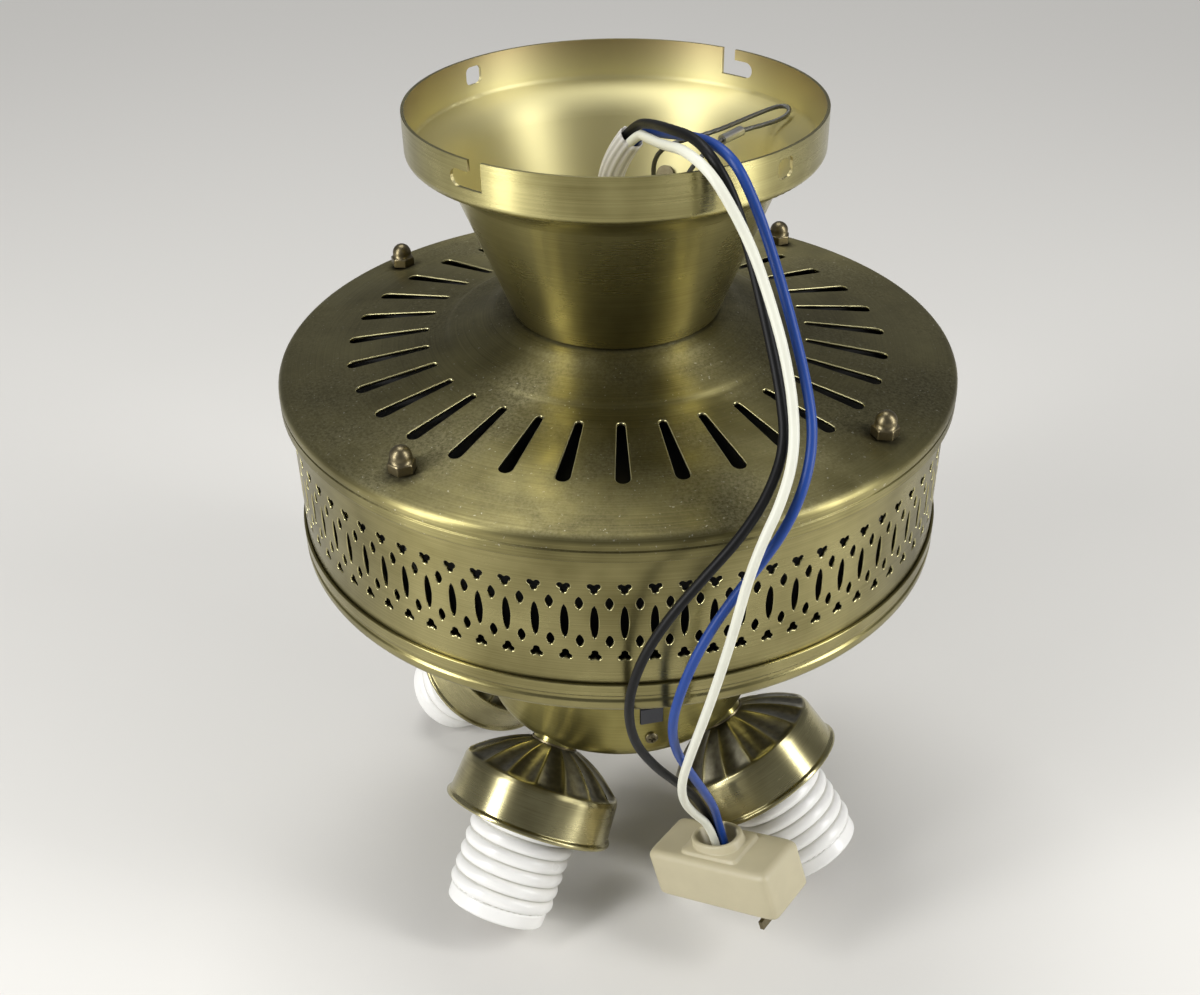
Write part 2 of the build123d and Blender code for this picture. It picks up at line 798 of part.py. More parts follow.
# Lid on the shaft's shoulder, and the nut that holds it there
with BuildPart() as cup_lid:
    with BuildSketch(Plane.XZ):
        with BuildLine():
            lid_radius = cup_radius - sheet - seam_gap
            Polyline(
                (shaft_tail_radius + clear_hole, cup_top),
                (lid_radius, cup_top),
                (lid_radius, cup_top - lid_skirt),
                (lid_radius - sheet, cup_top - lid_skirt),
                (lid_radius - sheet, cup_top - lid_height),
                (shaft_tail_radius + clear_hole, cup_top - lid_height),
                close=True,
            )
        make_face()
    revolve(axis=Axis.Z)
    with BuildSketch(*[upright(azimuth, cup_radius, cup_screw_height) for azimuth in cup_screw_azimuths]):
        Circle(small_screw_radius + screw_gap)
    extrude(amount=-4 * sheet, mode=Mode.SUBTRACT)
finish(cup_lid, "cup_lid")

with BuildPart() as shaft_nut:
    with BuildSketch(Plane.XY.offset(cup_top - lid_height)):
        RegularPolygon(hex_flats / 2, 6, major_radius=False)
        Circle(shaft_tail_radius, mode=Mode.SUBTRACT)
    extrude(amount=-hex_height)
finish(shaft_nut, "shaft_nut")

# Switch cup: a drawn cup with a flat seat for each lamp, a switch window and screw holes
with BuildPart() as switch_cup:
    with BuildSketch(Plane.XZ):
        with Locations((0, cup_top)):
            Rectangle(cup_radius, cup_top - cup_bottom, align=(Align.MIN, Align.MAX))
        fillet(vertices().group_by(Axis.X)[-1].sort_by(Axis.Y)[0], cup_corner)
    revolve(axis=Axis.Z)
    for azimuth in lamp_azimuths:
        with BuildSketch(lamp_plane(azimuth, 0)):
            Circle(seat_radius)
        extrude(amount=boss_reach)
    with BuildSketch(Plane.XZ):
        with Locations((0, cup_top)):
            Rectangle(cup_radius - sheet, cup_top - cup_bottom - sheet, align=(Align.MIN, Align.MAX))
        fillet(vertices().group_by(Axis.X)[-1].sort_by(Axis.Y)[0], cup_corner - sheet)
    revolve(axis=Axis.Z, mode=Mode.SUBTRACT)
    for azimuth in lamp_azimuths:
        with BuildSketch(lamp_plane(azimuth, 0)):
            Circle(seat_radius - sheet)
        extrude(amount=boss_reach - sheet, mode=Mode.SUBTRACT)
        with BuildSketch(lamp_plane(azimuth, 0)):
            Circle(nipple_radius + clear_hole)
        extrude(amount=boss_reach, mode=Mode.SUBTRACT)
    with BuildSketch(upright(switch_azimuth, cup_radius, window_bottom + window_height / 2)):
        Rectangle(window_width, window_height)
    extrude(amount=4 * sheet, both=True, mode=Mode.SUBTRACT)
    with BuildSketch(*[upright(switch_azimuth, cup_radius, height) for height in switch_screw_heights]):
        Circle(small_screw_radius + screw_gap)
    with BuildSketch(*[upright(azimuth, cup_radius, cup_screw_height) for azimuth in cup_screw_azimuths]):
        Circle(small_screw_radius + screw_gap)
    extrude(amount=3 * sheet, both=True, mode=Mode.SUBTRACT)
finish(switch_cup, "switch_cup")


def small_screws(label, places):
    """Pan-head screws that enter the switch cup's wall from outside, one at each azimuth and height."""
    planes = [upright(azimuth, cup_radius + seam_gap, height) for azimuth, height in places]
    with BuildPart() as screws:
        with BuildSketch(*planes):
            Circle(2 * small_screw_radius)
        extrude(amount=small_screw_radius)
        with BuildSketch(*planes):
            Circle(small_screw_radius)
        extrude(amount=-small_screw_length)
    finish(screws, label)


small_screws("cup_screws", [(azimuth, cup_screw_height) for azimuth in cup_screw_azimuths])
small_screws("switch_screws", [(switch_azimuth, height) for height in switch_screw_heights])

# Reversing switch: a body with two ears behind the cup's wall, and a knob that slides up and down
window_middle = window_bottom + window_height / 2
with BuildPart() as reverse_switch_body:
    with BuildSketch(upright(switch_azimuth, switch_face - switch_depth, window_middle)):
        Rectangle(switch_size[0], switch_size[1])
    extrude(amount=switch_depth)
    with BuildSketch(upright(switch_azimuth, switch_face - sheet, window_middle)):
        RectangleRounded(window_width, switch_ears, switch_ear_corner)
    extrude(amount=-1.5 * sheet)
    with BuildSketch(upright(switch_azimuth, switch_face, window_middle)):
        Rectangle(window_width, window_height)
    extrude(amount=-switch_depth + 2 * sheet, mode=Mode.SUBTRACT)
    with BuildSketch(*[upright(switch_azimuth, switch_face, height) for height in switch_screw_heights]):
        Circle(small_screw_radius + screw_gap)
    extrude(amount=-switch_depth, mode=Mode.SUBTRACT)
finish(reverse_switch_body, "reverse_switch_body")

with BuildPart() as reverse_switch_knob:
    knob_middle = window_bottom + slide_gap + knob_height / 2
    with BuildSketch(upright(switch_azimuth, switch_face - switch_depth + 2.5 * sheet, knob_middle)):
        Rectangle(window_width - 2 * slide_gap, knob_height)
    extrude(amount=cup_radius + sheet / 2 - switch_face + switch_depth - 2.5 * sheet)
finish(reverse_switch_knob, "reverse_switch_knob")

# Electrical parts on the cup's floor
cup_floor = cup_bottom + sheet
with BuildPart() as run_capacitor:
    with BuildSketch(Plane.XY.offset(cup_floor)):
        with Locations((0, capacitor_size[1] / 2)):
            RectangleRounded(capacitor_size[0], capacitor_size[1], capacitor_corner)
    extrude(amount=capacitor_size[2])
finish(run_capacitor, "run_capacitor")

with BuildPart() as terminal_block:
    with BuildSketch(Plane.XY.offset(cup_floor)):
        with Locations((0, -terminal_size[1])):
            Rectangle(terminal_size[0], terminal_size[1])
    extrude(amount=terminal_size[2])
finish(terminal_block, "terminal_block")

# Fasteners of the lamp holders: hollow threaded nipples, collars and locknuts
with BuildPart() as lamp_nipples:
    with BuildSketch(*[lamp_plane(azimuth, nipple_span[0]) for azimuth in lamp_azimuths]):
        Circle(nipple_radius)
        Circle(nipple_bore, mode=Mode.SUBTRACT)
    extrude(amount=nipple_span[1] - nipple_span[0])
finish(lamp_nipples, "lamp_nipples")

with BuildPart() as lamp_collars:
    with BuildSketch(*[lamp_plane(azimuth, boss_reach) for azimuth in lamp_azimuths]):
        Circle(holder_crown_radius)
        Circle(nipple_radius + seam_gap, mode=Mode.SUBTRACT)
    extrude(amount=holder_apex - boss_reach)
finish(lamp_collars, "lamp_collars")

with BuildPart() as nipple_locknuts:
    inner_nuts = [lamp_plane(azimuth, boss_reach - sheet - lamp_nut_height) for azimuth in lamp_azimuths]
    outer_nuts = [lamp_plane(azimuth, holder_apex + sheet) for azimuth in lamp_azimuths]
    with BuildSketch(*inner_nuts, *outer_nuts):
        RegularPolygon(lamp_nut_flats / 2, 6, major_radius=False)
        Circle(nipple_radius + thread_gap, mode=Mode.SUBTRACT)
    extrude(amount=lamp_nut_height)
finish(nipple_locknuts, "nipple_locknuts")


def shade_holder(label, azimuth):
    """A spun dome with a straight skirt and a beaded lip."""
    with BuildPart() as holder:
        with BuildSketch(lamp_section(azimuth)):
            with BuildLine():
                Line((nipple_radius + seam_gap, holder_apex), (holder_crown_radius, holder_apex))
                ThreePointArc((holder_crown_radius, holder_apex), holder_middle, holder_shoulder)
                Line(holder_shoulder, holder_lip)
                offset(amount=sheet, side=Side.LEFT, kind=Kind.INTERSECTION)
            make_face()
        revolve(axis=lamp_axis(azimuth))
        with BuildSketch(lamp_section(azimuth)):
            with Locations((holder_lip[0] - sheet / 2, holder_lip[1])):
                Circle(holder_bead)
        revolve(axis=lamp_axis(azimuth))
    finish(holder, label)


def lamp_sleeve(label, azimuth):
    """A white socket body with rings round it, a nipple pocket behind and the bulb's bore in front."""
    outline = [(nipple_radius + seam_gap, sleeve_start), (sleeve_radius, sleeve_start)]
    for index in range(rib_count):
        middle = first_rib + index * rib_pitch
        outline.append((sleeve_radius, middle - rib_width / 2))
        outline.append((rib_radius, middle - rib_width / 4))
        outline.append((rib_radius, middle + rib_width / 4))
        outline.append((sleeve_radius, middle + rib_width / 2))
    outline.append((sleeve_radius, sleeve_end - sheet))
    outline.append((sleeve_radius - sheet, sleeve_end))
    outline.append((sleeve_bore, sleeve_end))
    outline.append((sleeve_bore, sleeve_ledge))
    outline.append((sleeve_ledge_radius, sleeve_ledge))
    outline.append((sleeve_ledge_radius, sleeve_floor))
    outline.append((0, sleeve_floor))
    outline.append((0, nipple_span[1] + seam_gap))
    outline.append((nipple_radius + seam_gap, nipple_span[1] + seam_gap))
    with BuildPart() as sleeve:
        with BuildSketch(lamp_section(azimuth)):
            with BuildLine():
                Polyline(*outline, close=True)
            make_face()
        revolve(axis=lamp_axis(azimuth))
    finish(sleeve, label)


def screw_shell(label, azimuth):
    """The thin metal shell that a bulb screws into."""
    with BuildPart() as shell:
        with BuildSketch(lamp_plane(azimuth, sleeve_ledge)):
            Circle(shell_radius + shell_wall)
            Circle(shell_radius, mode=Mode.SUBTRACT)
        extrude(amount=shell_end - sleeve_ledge)
    finish(shell, label)


def center_contact(label, azimuth):
    """The contact button on the socket's floor."""
    with BuildPart() as contact:
        with BuildSketch(lamp_plane(azimuth, sleeve_floor)):
            Circle(contact_radius)
        extrude(amount=contact_height)
    finish(contact, label)


for number, azimuth in enumerate(lamp_azimuths, start=1):
    shade_holder(f"shade_holder_{number}", azimuth)
    lamp_sleeve(f"lamp_sleeve_{number}", azimuth)
    screw_shell(f"screw_shell_{number}", azimuth)
    center_contact(f"center_contact_{number}", azimuth)


def tube(label, route, radius, bore=0.0):
    """A round tube along straight runs joined by arcs."""
    radii = corner_radii(route)
    with BuildPart() as builder:
        with BuildLine():
            path = FilletPolyline(*route, radius=radii)
        with BuildSketch(Plane(origin=path @ 0, z_dir=path % 0)):
            Circle(radius)
            if bore:
                Circle(bore, mode=Mode.SUBTRACT)
        sweep()
    section = pi * (radius**2 - bore**2)
    share = builder.part.volume / (section * path.length)
    bends = " ".join(f"{bend:.1f}" for bend in radii)
    print(f"{label}: length {path.length:.1f}, volume share {share:.4f}, radii {bends}")
    finish(builder, label)


# Soft sheath from the shaft's bore, and the three wires that hang over the canopy's rim to the plug
tube("wire_sheath", sheath_route, sheath_radius, sheath_bore)
tube("white_wire", white_route, wire_radius)
tube("black_wire", black_route, wire_radius)
tube("blue_wire", blue_route, wire_radius)

# Safety rope: a sling through the washer's ear, its two ends in one crimped ferrule
tube("safety_rope", rope_route, rope_radius)
ferrule_start = Vector(*rope_route[-1])
ferrule_end = Vector(*rope_route[0])
with BuildPart() as rope_ferrule:
    with BuildSketch(Plane(origin=ferrule_start, z_dir=ferrule_end - ferrule_start)):
        Circle(ferrule_radius)
    extrude(amount=(ferrule_end - ferrule_start).length)
finish(rope_ferrule, "rope_ferrule")

# Hook plug: a rounded block with a raised pad, an oval wire collar and two hooked blades
plug_plane = Plane(Location(plug_centre, plug_turn))
with BuildPart() as plug_body:
    with BuildSketch(plug_plane.offset(-plug_size[2] / 2)):
        RectangleRounded(plug_size[0], plug_size[1], plug_edge)
    extrude(amount=plug_size[2])
    fillet(plug_body.faces().filter_by(plug_plane).edges(), plug_round)
    with BuildSketch(plug_plane.offset(plug_size[2] / 2)):
        RectangleRounded(plug_pad[0], plug_pad[1], plug_edge)
    extrude(amount=plug_pad[2])
    with BuildSketch(plug_plane.offset(plug_size[2] / 2)):
        SlotOverall(plug_collar[0], plug_collar[1])
    extrude(amount=plug_collar_height)
    with BuildSketch(plug_plane.offset(plug_size[2] / 2 + plug_collar_height)):
        Circle(sheath_bore + seam_gap)
    extrude(amount=-plug_pocket, mode=Mode.SUBTRACT)
finish(plug_body, "plug_body")

with BuildPart() as plug_blades:
    for side in (-1, 1):
        with BuildSketch(plug_plane.offset(-plug_size[2] / 2)):
            with Locations((side * blade_spacing / 2, 0)):
                Rectangle(blade_size[1], blade_size[0])
        extrude(amount=-blade_size[2])
        with BuildSketch(plug_plane.offset(-plug_size[2] / 2 - blade_size[2])):
            with Locations((side * blade_spacing / 2, -side * blade_size[0] / 2)):
                Rectangle(blade_size[1], 2 * blade_size[0])
        extrude(amount=2 * blade_size[1])
finish(plug_blades, "plug_blades")
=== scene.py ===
from math import cos, radians, sin

import bmesh
import bpy
import numpy as np
from mathutils import Matrix, Vector


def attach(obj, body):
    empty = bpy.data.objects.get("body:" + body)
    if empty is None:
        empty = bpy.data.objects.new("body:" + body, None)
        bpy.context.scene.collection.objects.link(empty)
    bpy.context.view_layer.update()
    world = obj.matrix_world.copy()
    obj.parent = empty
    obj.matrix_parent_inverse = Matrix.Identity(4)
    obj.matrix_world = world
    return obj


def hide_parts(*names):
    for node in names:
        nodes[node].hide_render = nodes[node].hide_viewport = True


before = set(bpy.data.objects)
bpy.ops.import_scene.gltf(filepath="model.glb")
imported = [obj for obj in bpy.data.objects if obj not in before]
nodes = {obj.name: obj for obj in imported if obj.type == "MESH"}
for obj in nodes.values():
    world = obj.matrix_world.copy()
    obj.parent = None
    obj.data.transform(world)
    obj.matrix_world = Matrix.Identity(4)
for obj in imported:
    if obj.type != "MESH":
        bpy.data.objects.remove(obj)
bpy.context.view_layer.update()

# A ceiling fan's body with its light: antique brass, white lamp sleeves, three wires and a hook plug.
# Sizes are in millimetres until a mesh is made. An azimuth is measured round the axis from -Y toward +X.
# Points of an outline are (radius, height) about the fan's axis, or (radius, distance) about a lamp's.
MM = 0.001

# Camera
IMAGE_WIDTH = 1200
FOCAL_PIXELS = 1385.92
SENSOR_WIDTH = 36.0
CAMERA_PLACE = (0.0, -431.3, 140.1)
CAMERA_PITCH = radians(34.02)
CAMERA_YAW = radians(-0.889)
CAMERA_ROLL = -0.016

# Stage: each softbox has its place, width and height, and watts
FLOOR_HEIGHT = -301.9
FLOOR_SIZE = 9000.0
FLOOR_COLOUR = "#D9D7D2"
FLOOR_FADE = (500.0, 2400.0)
FLOOR_GLOW = 0.5
WORLD_COLOUR = "#DCDDE0"
WORLD_STRENGTH = 0.3
LIT_POINT = (0, 0, -120)
SOFTBOXES = {
    "left_softbox": ((-900, -560, 330), (260, 1200), 14),
    "right_softbox": ((950, -380, 330), (230, 1200), 11.5),
    "top_softbox": ((-150, 500, 1250), (700, 600), 9.5),
}

# Sheet metal: a hole's outline is drawn at four distances outside its wall, to round its edge
SHEET = 1.0
EDGE = 0.3
HOLE_EDGES = (1.3 * EDGE, 0.8 * EDGE, 0.25 * EDGE, 0.0)

# Patterns of the finishes
LINE_SPACING = 0.5
SOIL_GRAIN = 2.5
DUST_DRIFT = 38.0
DUST_GRAIN = 1.0
DUST_SPECK = 1.1
# how ragged the painted shade round the nuts is
SHADE_RING_RAGGED = 3.0
PLASTIC_CLOUD = 9.0

# Top cover
SLOT_COUNT = 32
SLOT_PHASE = 1.0
SLOT_SPAN = (64.9, 93.0)
SLOT_WIDTHS = (2.6, 4.6)
SLOT_CELL = (62.5, 96.0)
CONE_INNER = (62.5, -79.1)
CONE_OUTER = (114.1, -86.45)
LIP_RADIUS = 116.7
LIP_BOTTOM = -95.0
LIP_GROOVE = (-90.5, -90.8, -91.1, -91.4)
LIP_GROOVE_DEPTH = 0.5
LIP_WALL = 1.2
COVER_TOP = -70.6
COVER_BORE = 8.8

# Pierced band: heights are measured from the middle row
BAND_RADIUS = 114.0
BAND_TOP = -87.7
BAND_BOTTOM = -145.4
COLUMN_COUNT = 80
COLUMN_PHASE = 0.9
COLUMN_WIDTH = 5.2
ROWS_MIDDLE = -118.9
LENS_CELL = 9.6
LENS_HOLE = (1.26, 6.45, 1.8)
DIAMOND_HEIGHT = 7.1
DIAMOND_CELL = (3.4, 10.6)
DIAMOND_HOLE = (1.25, 2.4, 1.45)
TREFOIL_HEIGHT = 12.75
TREFOIL_LOBE = 1.07
TREFOIL_SPREAD = 1.13
TREFOIL_WAIST = 0.75
PATTERN_END = 15.45
BAND_LEVELS = np.array([1.15, 2.3, 3.4, 4.6, 5.8, 7.1, 8.3, 9.6, 10.6, 11.7, 12.75, 13.7, 14.6, 15.45])

# Bottom cover
PAN_RADIUS = 115.2
PAN_TOP = -142.3
PAN_FLOOR = -153.5
PAN_HOLE = 76.0

# Acorn nuts
NUT_CIRCLE = 104.9
NUT_AZIMUTHS = (52.0, 142.0, 232.0, 322.0)
NUT_HALF_FLATS = 3.9
NUT_DOME = 3.5
NUT_DOME_BASE = 4.7

# Lamp holders: distances run along each lamp's axis from a point inside the switch cup
LAMP_AZIMUTHS = (-32.0, 58.0, 148.0, -122.0)
LAMP_TILT = radians(40.4)
LAMP_START = (40.0, -228.8)
DOME_CROWN = (9.0, 12.0)
DOME_BEND = (21.4, 15.9)
DOME_SHOULDER = (30.4, 24.7)
DOME_WALL = 2.2
DOME_BORE = 5.2
FLUTE_COUNT = 16
FLUTE_DEPTH = 1.4
RIB_START = 41.4
RIB_PITCH = 5.4
RIB_COUNT = 6
RIB_ROOT = 18.7
RIB_SWELL = 1.9
SLEEVE_START = 36.0
SLEEVE_END = 79.8
SLEEVE_BORE = 14.0

# Switch
SWITCH_AZIMUTH = 13.0
SWITCH_SCREW_HEIGHTS = (-198.3, -224.5)
CUP_RADIUS = 53.0
SCREW_HEAD = (2.4, 1.25)
SCREW_SHANK = (1.2, 5.2)
CROSS_ARM = (0.42, 1.55)
CROSS_DEPTH = 0.8

# Plug: half sizes and the powers of its outlines
PLUG_CENTRE = (39.3, -80.7, -262.0)
PLUG_TURN = (radians(-13.3), radians(-15.5), radians(-37.8))
PLUG_HALF = (26.75, 12.0, 9.5)
PLUG_ROUNDING = 2.8
BLOCK_POWER, PAD_POWER, COLLAR_POWER = 14, 10, 2.3
PAD_RISE = 1.5
COLLAR_RISE = 5.0
PLUG_HOLE_DEPTH = 3.0

# Cords
WIRE_DIAMETER = 3.0
SHEATH_DIAMETER = 8.4
SHEATH_RIDGES = 12
ROPE_DIAMETER = 1.6
ROPE_LAY = 7.0

SHEATH_ROUTE = [(0, 0, -74), (0, 0, -46), (-3.5, -3, -22), (5.2, -9, -9)]
WHITE_ROUTE = [
    (1.2, -8.3, -15.0), (6.9, -12.2, -6.5), (10.0, -26.0, -3.6), (14.5, -43.5, 0.4), (19.0, -60.0, 5.2),
    (25.5, -70.5, 3.0), (31.5, -75.0, -5.5), (37.5, -79.3, -16.5), (42.0, -86.0, -28.0), (46.0, -93.6, -40.0),
    (48.5, -101.5, -52.8), (48.6, -109.3, -64.0), (44.8, -117.3, -74.0), (39.7, -122.0, -84.0),
    (36.0, -124.0, -96.0), (33.3, -124.6, -111.0), (30.0, -124.2, -128.0), (26.2, -123.0, -146.0),
    (22.0, -118.5, -168.0), (19.8, -110.0, -189.0), (21.5, -98.5, -209.5), (26.0, -87.0, -227.5),
    (33.0, -77.9, -243.7), (35.9, -80.3, -254.0),
]
BLACK_ROUTE = [
    (0.4, -5.7, -13.2), (6.1, -9.6, -4.7), (10.5, -23.5, 0.2), (15.5, -41.0, 4.6), (22.2, -55.5, 7.0),
    (27.0, -66.0, 4.4), (32.0, -69.2, -3.8), (35.5, -71.2, -14.0), (38.7, -78.2, -25.0), (42.2, -86.8, -38.0),
    (45.4, -95.4, -51.5), (46.6, -104.8, -63.5), (41.3, -114.4, -74.0), (33.6, -121.3, -83.0),
    (24.0, -125.0, -93.5), (13.9, -126.6, -107.0), (6.0, -126.6, -123.0), (2.3, -125.0, -141.0),
    (4.1, -119.5, -161.0), (10.8, -112.5, -178.5), (19.0, -102.5, -196.5), (25.0, -90.5, -214.0),
    (29.2, -80.5, -230.5), (33.4, -74.7, -244.3), (36.3, -77.1, -254.6),
]
BLUE_ROUTE = [
    (3.1, -5.6, -15.0), (8.8, -9.5, -6.5), (14.2, -22.0, -3.4), (20.4, -39.5, 2.0), (27.0, -55.5, 5.8),
    (32.8, -66.3, 4.0), (37.7, -69.8, -5.2), (41.9, -72.2, -15.6), (45.4, -78.0, -25.4), (49.0, -86.6, -36.6),
    (52.4, -95.6, -48.8), (54.2, -104.2, -60.0), (51.9, -112.2, -71.0), (46.6, -117.2, -83.0),
    (39.4, -119.2, -94.5), (31.4, -121.2, -106.0), (24.2, -123.6, -118.4), (18.7, -124.6, -133.6),
    (15.6, -122.8, -150.5), (17.4, -115.0, -169.5), (23.0, -105.8, -188.5), (29.0, -96.5, -207.5),
    (33.2, -85.8, -225.5), (35.9, -76.5, -243.1), (38.8, -78.9, -253.4),
]
ROPE_ROUTE = [
    (34.6, 5.6, -15.5), (28.7, -1.2, -17.0), (23.0, -5.2, -22.5), (20.0, -6.0, -31.0), (19.5, -4.8, -41.0),
    (20.0, -3.6, -51.0), (20.0, -3.2, -60.2), (20.0, 3.2, -60.2), (19.5, 4.2, -51.0), (16.5, 6.0, -40.5),
    (12.5, 6.5, -30.0), (12.5, 4.6, -21.0), (17.0, 2.0, -15.5), (25.5, 1.6, -13.2), (34.2, 8.4, -13.0),
    (42.0, 16.2, -12.6), (49.5, 22.6, -11.9), (54.8, 26.0, -11.3), (58.2, 24.8, -11.2), (57.6, 21.6, -12.8),
    (53.6, 19.0, -14.0), (47.5, 16.4, -14.8), (41.2, 12.5, -15.0),
]


def colour(code, share=1.0):
    """A six-digit sRGB code as linear red, green, blue and alpha, dimmed to a share of its light."""
    srgb = np.array([int(code[i:i + 2], 16) for i in (1, 3, 5)]) / 255
    linear = np.where(srgb <= 0.04045, srgb / 12.92, ((srgb + 0.055) / 1.055) ** 2.4)
    return (*(share * linear).tolist(), 1.0)


def add(tree, kind, inputs=(), output=0, **settings):
    """Adds a shader node, sets its properties, sets or links its inputs, and gives one of its outputs."""
    made = tree.nodes.new("ShaderNode" + kind)
    for name, value in settings.items():
        setattr(made, name, value)
    for name, value in dict(inputs).items():
        if isinstance(value, bpy.types.NodeSocket):
            tree.links.new(value, made.inputs[name])
        else:
            made.inputs[name].default_value = value
    return made.outputs[output]


def new_material(name, **constants):
    """A material with its shader, whose sockets of one value all over are set here."""
    material = bpy.data.materials.new(name)
    material.use_nodes = True
    shader = material.node_tree.nodes["Principled BSDF"]
    for socket, value in constants.items():
        shader.inputs[socket.replace("_", " ")].default_value = value
    return material, material.node_tree, shader


def feed(tree, shader, **sources):
    """Links what varies over a surface to the shader's sockets."""
    for socket, source in sources.items():
        tree.links.new(source, shader.inputs[socket.replace("_", " ")])


# Camera and stage

def make_camera():
    """The camera at the photograph's place, turned by pitch, yaw and roll."""
    ahead = cos(CAMERA_PITCH)
    forward = Vector((sin(CAMERA_YAW) * ahead, cos(CAMERA_YAW) * ahead, -sin(CAMERA_PITCH)))
    level = forward.cross(Vector((0, 0, 1))).normalized()
    upward = level.cross(forward)
    right = level * cos(CAMERA_ROLL) + upward * sin(CAMERA_ROLL)
    top = upward * cos(CAMERA_ROLL) - level * sin(CAMERA_ROLL)
    lens = bpy.data.cameras.new("camera")
    lens.sensor_width = SENSOR_WIDTH
    lens.lens = FOCAL_PIXELS / IMAGE_WIDTH * SENSOR_WIDTH
    lens.clip_start = 0.01
    camera = bpy.data.objects.new("camera", lens)
    turn = Matrix((right, top, -forward)).transposed().to_4x4()
    camera.matrix_world = Matrix.Translation(Vector(CAMERA_PLACE) * MM) @ turn
    bpy.context.scene.collection.objects.link(camera)
    bpy.context.scene.camera = camera


def make_light(name, place, size, watts):
    """A soft rectangular lamp that looks from its place to the object."""
    lamp = bpy.data.lights.new(name, "AREA")
    lamp.shape = "RECTANGLE"
    lamp.size, lamp.size_y = size[0] * MM, size[1] * MM
    lamp.energy = watts
    holder = bpy.data.objects.new(name, lamp)
    holder.location = Vector(place) * MM
    holder.rotation_euler = (Vector(LIT_POINT) - Vector(place)).to_track_quat("-Z", "Y").to_euler()
    bpy.context.scene.collection.objects.link(holder)


def make_stage():
    """A pale matt floor, a pale even world and three soft lamps. The floor stays pale to the eye and in
    the metal where it runs out of the lamps' reach."""
    half = FLOOR_SIZE / 2 * MM
    height = FLOOR_HEIGHT * MM
    mesh = bpy.data.meshes.new("floor")
    corners = [(-half, -half, height), (half, -half, height), (half, half, height), (-half, half, height)]
    mesh.from_pydata(corners, [], [(0, 1, 2, 3)])
    floor = bpy.data.objects.new("floor", mesh)
    bpy.context.scene.collection.objects.link(floor)
    material, tree, shader = new_material("matt_pale_floor", Roughness=0.8, Base_Color=colour(FLOOR_COLOUR),
                                          Emission_Color=colour(FLOOR_COLOUR))
    place = add(tree, "TexCoord", output="Object")
    level = add(tree, "VectorMath", {0: place, 1: (1, 1, 0)}, operation="MULTIPLY")
    away = add(tree, "VectorMath", {0: level}, "Value", operation="LENGTH")
    near, far = FLOOR_FADE
    pale = add(tree, "MapRange", {"Value": away, "From Min": near * MM, "From Max": far * MM,
                                  "To Max": FLOOR_GLOW})
    rays = add(tree, "LightPath").node.outputs
    seen = add(tree, "Math", {0: rays["Is Camera Ray"], 1: rays["Is Glossy Ray"]}, operation="MAXIMUM")
    feed(tree, shader, Emission_Strength=add(tree, "Math", {0: pale, 1: seen}, operation="MULTIPLY"))
    mesh.materials.append(material)
    world = bpy.data.worlds.new("studio")
    world.use_nodes = True
    background = world.node_tree.nodes["Background"]
    background.inputs["Color"].default_value = colour(WORLD_COLOUR)
    background.inputs["Strength"].default_value = WORLD_STRENGTH
    bpy.context.scene.world = world
    for name, (place, size, watts) in SOFTBOXES.items():
        make_light(name, place, size, watts)
    bpy.context.scene.view_settings.view_transform = "Standard"


make_camera()
make_stage()


# Meshes

def dress(name, data, material, node):
    """A mesh or a curve as a piece that rides on the housing in place of a CAD node."""
    data.materials.append(material)
    piece = bpy.data.objects.new(name, data)
    bpy.context.scene.collection.objects.link(piece)
    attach(piece, "housing")
    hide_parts(node)
    return piece


def make_piece(name, grids, material, node):
    """One mesh from grids of points: the last two axes before x, y, z are rows and columns, whose
    neighbours make quads. A grid is points alone, or with a u and v and a relief for each. Points that
    meet are merged."""
    points, faces, places, reliefs = [], [], [], []
    start = 0
    for grid in grids:
        grid, uv, relief = (*grid, 0, 0)[:3] if isinstance(grid, tuple) else (grid, 0, 0)
        index = np.arange(grid[..., 0].size).reshape(grid.shape[:-1]) + start
        corners = (index[..., :-1, :-1], index[..., 1:, :-1], index[..., 1:, 1:], index[..., :-1, 1:])
        faces.append(np.stack(corners, axis=-1).reshape(-1, 4))
        points.append(grid.reshape(-1, 3) * MM)
        places.append(np.broadcast_to(uv, (*grid.shape[:-1], 2)).reshape(-1, 2))
        reliefs.append(np.broadcast_to(relief, grid.shape[:-1]).ravel())
        start += index.size
    faces = np.concatenate(faces)
    mesh = bpy.data.meshes.new(name)
    mesh.from_pydata(np.concatenate(points), [], faces)
    layer = mesh.uv_layers.new(name="surface")
    layer.data.foreach_set("uv", np.concatenate(places)[faces.ravel()].astype(np.float32).ravel())
    height = mesh.attributes.new("relief", "FLOAT", "POINT")
    height.data.foreach_set("value", np.concatenate(reliefs).astype(np.float32))
    work = bmesh.new()
    work.from_mesh(mesh)
    bmesh.ops.remove_doubles(work, verts=work.verts, dist=2e-6)
    bmesh.ops.dissolve_degenerate(work, edges=work.edges, dist=1e-7)
    bmesh.ops.recalc_face_normals(work, faces=work.faces)
    work.to_mesh(mesh)
    work.free()
    mesh.shade_smooth()
    return dress(name, mesh, material, node)


def stacked(*parts):
    """Arrays that spread over one another, put together along a new last axis."""
    return np.stack(np.broadcast_arrays(*parts), axis=-1)


def bent(first, corner, last, share):
    """A quadratic curve from one point to another, drawn toward a corner, at shares of its way."""
    return (1 - share) ** 2 * first + 2 * share * (1 - share) * corner + share ** 2 * last


